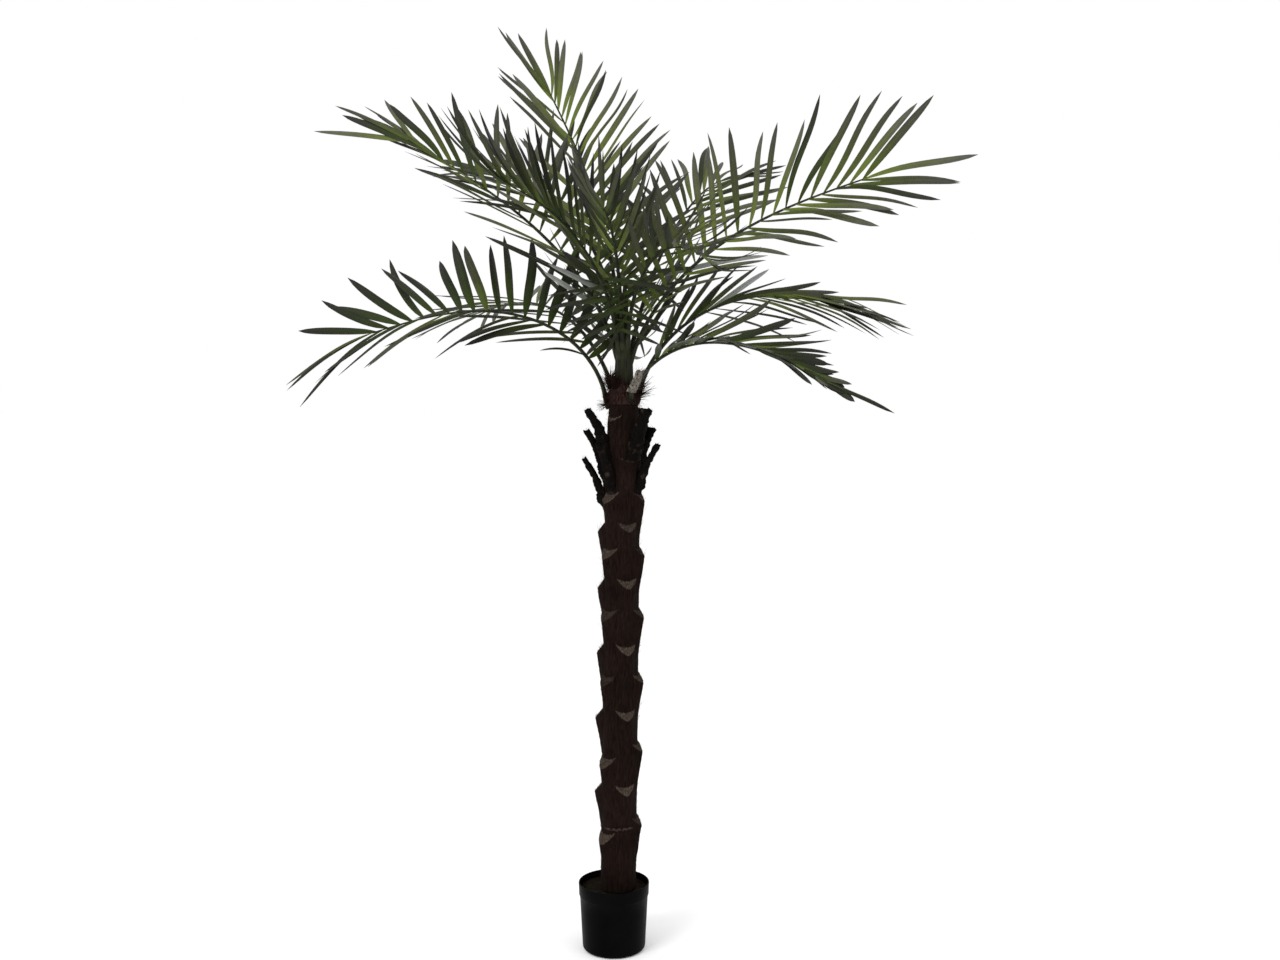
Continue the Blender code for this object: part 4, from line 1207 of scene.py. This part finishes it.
def sheath_point(row, turn):
    """A point of the strip's skin: thin, curved round the stalk, ragged along its edges."""
    done = row / (SHEATH_ROWS - 1)
    frond = FRONDS[SHEATH_FROND]
    share = done * SHEATH_LENGTH / frond.length
    along = rib_direction(frond, share)
    way = radians(frond.azimuth)
    across = Vector((-sin(way), cos(way), 0.0))
    outward = across.cross(along)
    c, s = cos(turn), sin(turn)
    ragged = 1.0 + 0.20 * noise(Vector((done * 14, c * 2.0, 4.0)))
    half = (SHEATH_WIDTHS[0] + (SHEATH_WIDTHS[1] - SHEATH_WIDTHS[0]) * done) * SHEATH_SPREAD / 2 * ragged
    middle = rib_place(rib_lines[SHEATH_FROND], share) + outward * (rib_radius(share) + 0.0016)
    middle = middle - across * (SHEATH_LEAN * done ** 2)
    spikes = noise(Vector((c * 7.0, 2.0, 9.0))) + 0.5 * noise(Vector((c * 19.0, 5.0, 1.0)))
    middle = middle + along * (0.016 * spikes * max(0.0, done - 0.6) / 0.4)
    wrap = -0.0060 * c * c + 0.0005 * sin(c * 14.0)
    return middle + across * (c * half) + outward * (wrap + s * 0.0007)


woven_cloth = mottled(
    "beige_leaf_cloth", 0.90, (SHEATH_DARK, SHEATH_LIGHT), (70, 8.0, (4, 4, 0.5)), (0.35, 0.70),
    relief=(400, 4.0, (3, 3, 0.5)), depth=0.0006,
)
sheath = show(sleeve("leaf_sheath", SHEATH_ROWS, SHEATH_SIDES, sheath_point), woven_cloth)
mark_all(sheath.data)
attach(sheath, "root")
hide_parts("sheath")
loose_threads(
    "sheath_threads", sheath, woven_cloth, "beige_cloth", Grain=(0.5, -0.5, 0.8),
    per_m2=60000.0, lengths=(0.005, 0.013), thickness=0.0004, standing=0.25, spread=0.45, seed=71,
)

# Studio: a pale floor under a white sky, a large soft lamp from the front left and a weaker one from the
# right.
FLOOR_REACH = 40.0
floor_mesh = bpy.data.meshes.new("studio_floor")
corners = [(x * FLOOR_REACH, y * FLOOR_REACH, -0.0005) for x, y in ((-1, -1), (1, -1), (1, 1), (-1, 1))]
floor_mesh.from_pydata(corners, [], [(0, 1, 2, 3)])
pale_floor, tree, shader = new_finish("pale_floor", 0.9, 0.0)
shader.inputs["Base Color"].default_value = (1.0, 1.0, 1.0, 1.0)
floor = show(floor_mesh, pale_floor)

world = bpy.data.worlds.new("white_sky")
world.use_nodes = True
sky = world.node_tree.nodes["Background"].inputs
sky["Color"].default_value = (1.0, 1.0, 1.0, 1.0)
sky["Strength"].default_value = 1.0
bpy.context.scene.world = world


def soft_lamp(name, place, aim, size, watts):
    """A square area lamp that looks at a point."""
    data = bpy.data.lights.new(name, "AREA")
    data.size = size
    data.energy = watts
    made = placed(name, data)
    made.location = place
    made.rotation_euler = (Vector(aim) - Vector(place)).to_track_quat("-Z", "Y").to_euler()


soft_lamp("key_lamp", (-2.4, -2.8, 3.4), (0.0, 0.0, 1.3), 2.0, 90.0)
soft_lamp("fill_lamp", (3.0, -2.4, 1.8), (0.0, 0.0, 1.2), 2.0, 25.0)
bpy.context.scene.view_settings.view_transform = "Standard"

# Photograph's view: from 3 m in front of the pot at chest height, looking a little down.
CAMERA_PLACE = (0.0594, -3.044, 1.312)
CAMERA_PITCH = 4.54
CAMERA_LENS = 38.6
camera_data = bpy.data.cameras.new("photograph")
camera_data.sensor_width = 36.0
camera_data.lens = CAMERA_LENS
camera = placed("photograph", camera_data)
camera.location = CAMERA_PLACE
camera.rotation_euler = (radians(90.0 - CAMERA_PITCH), 0.0, 0.0)
bpy.context.scene.camera = camera
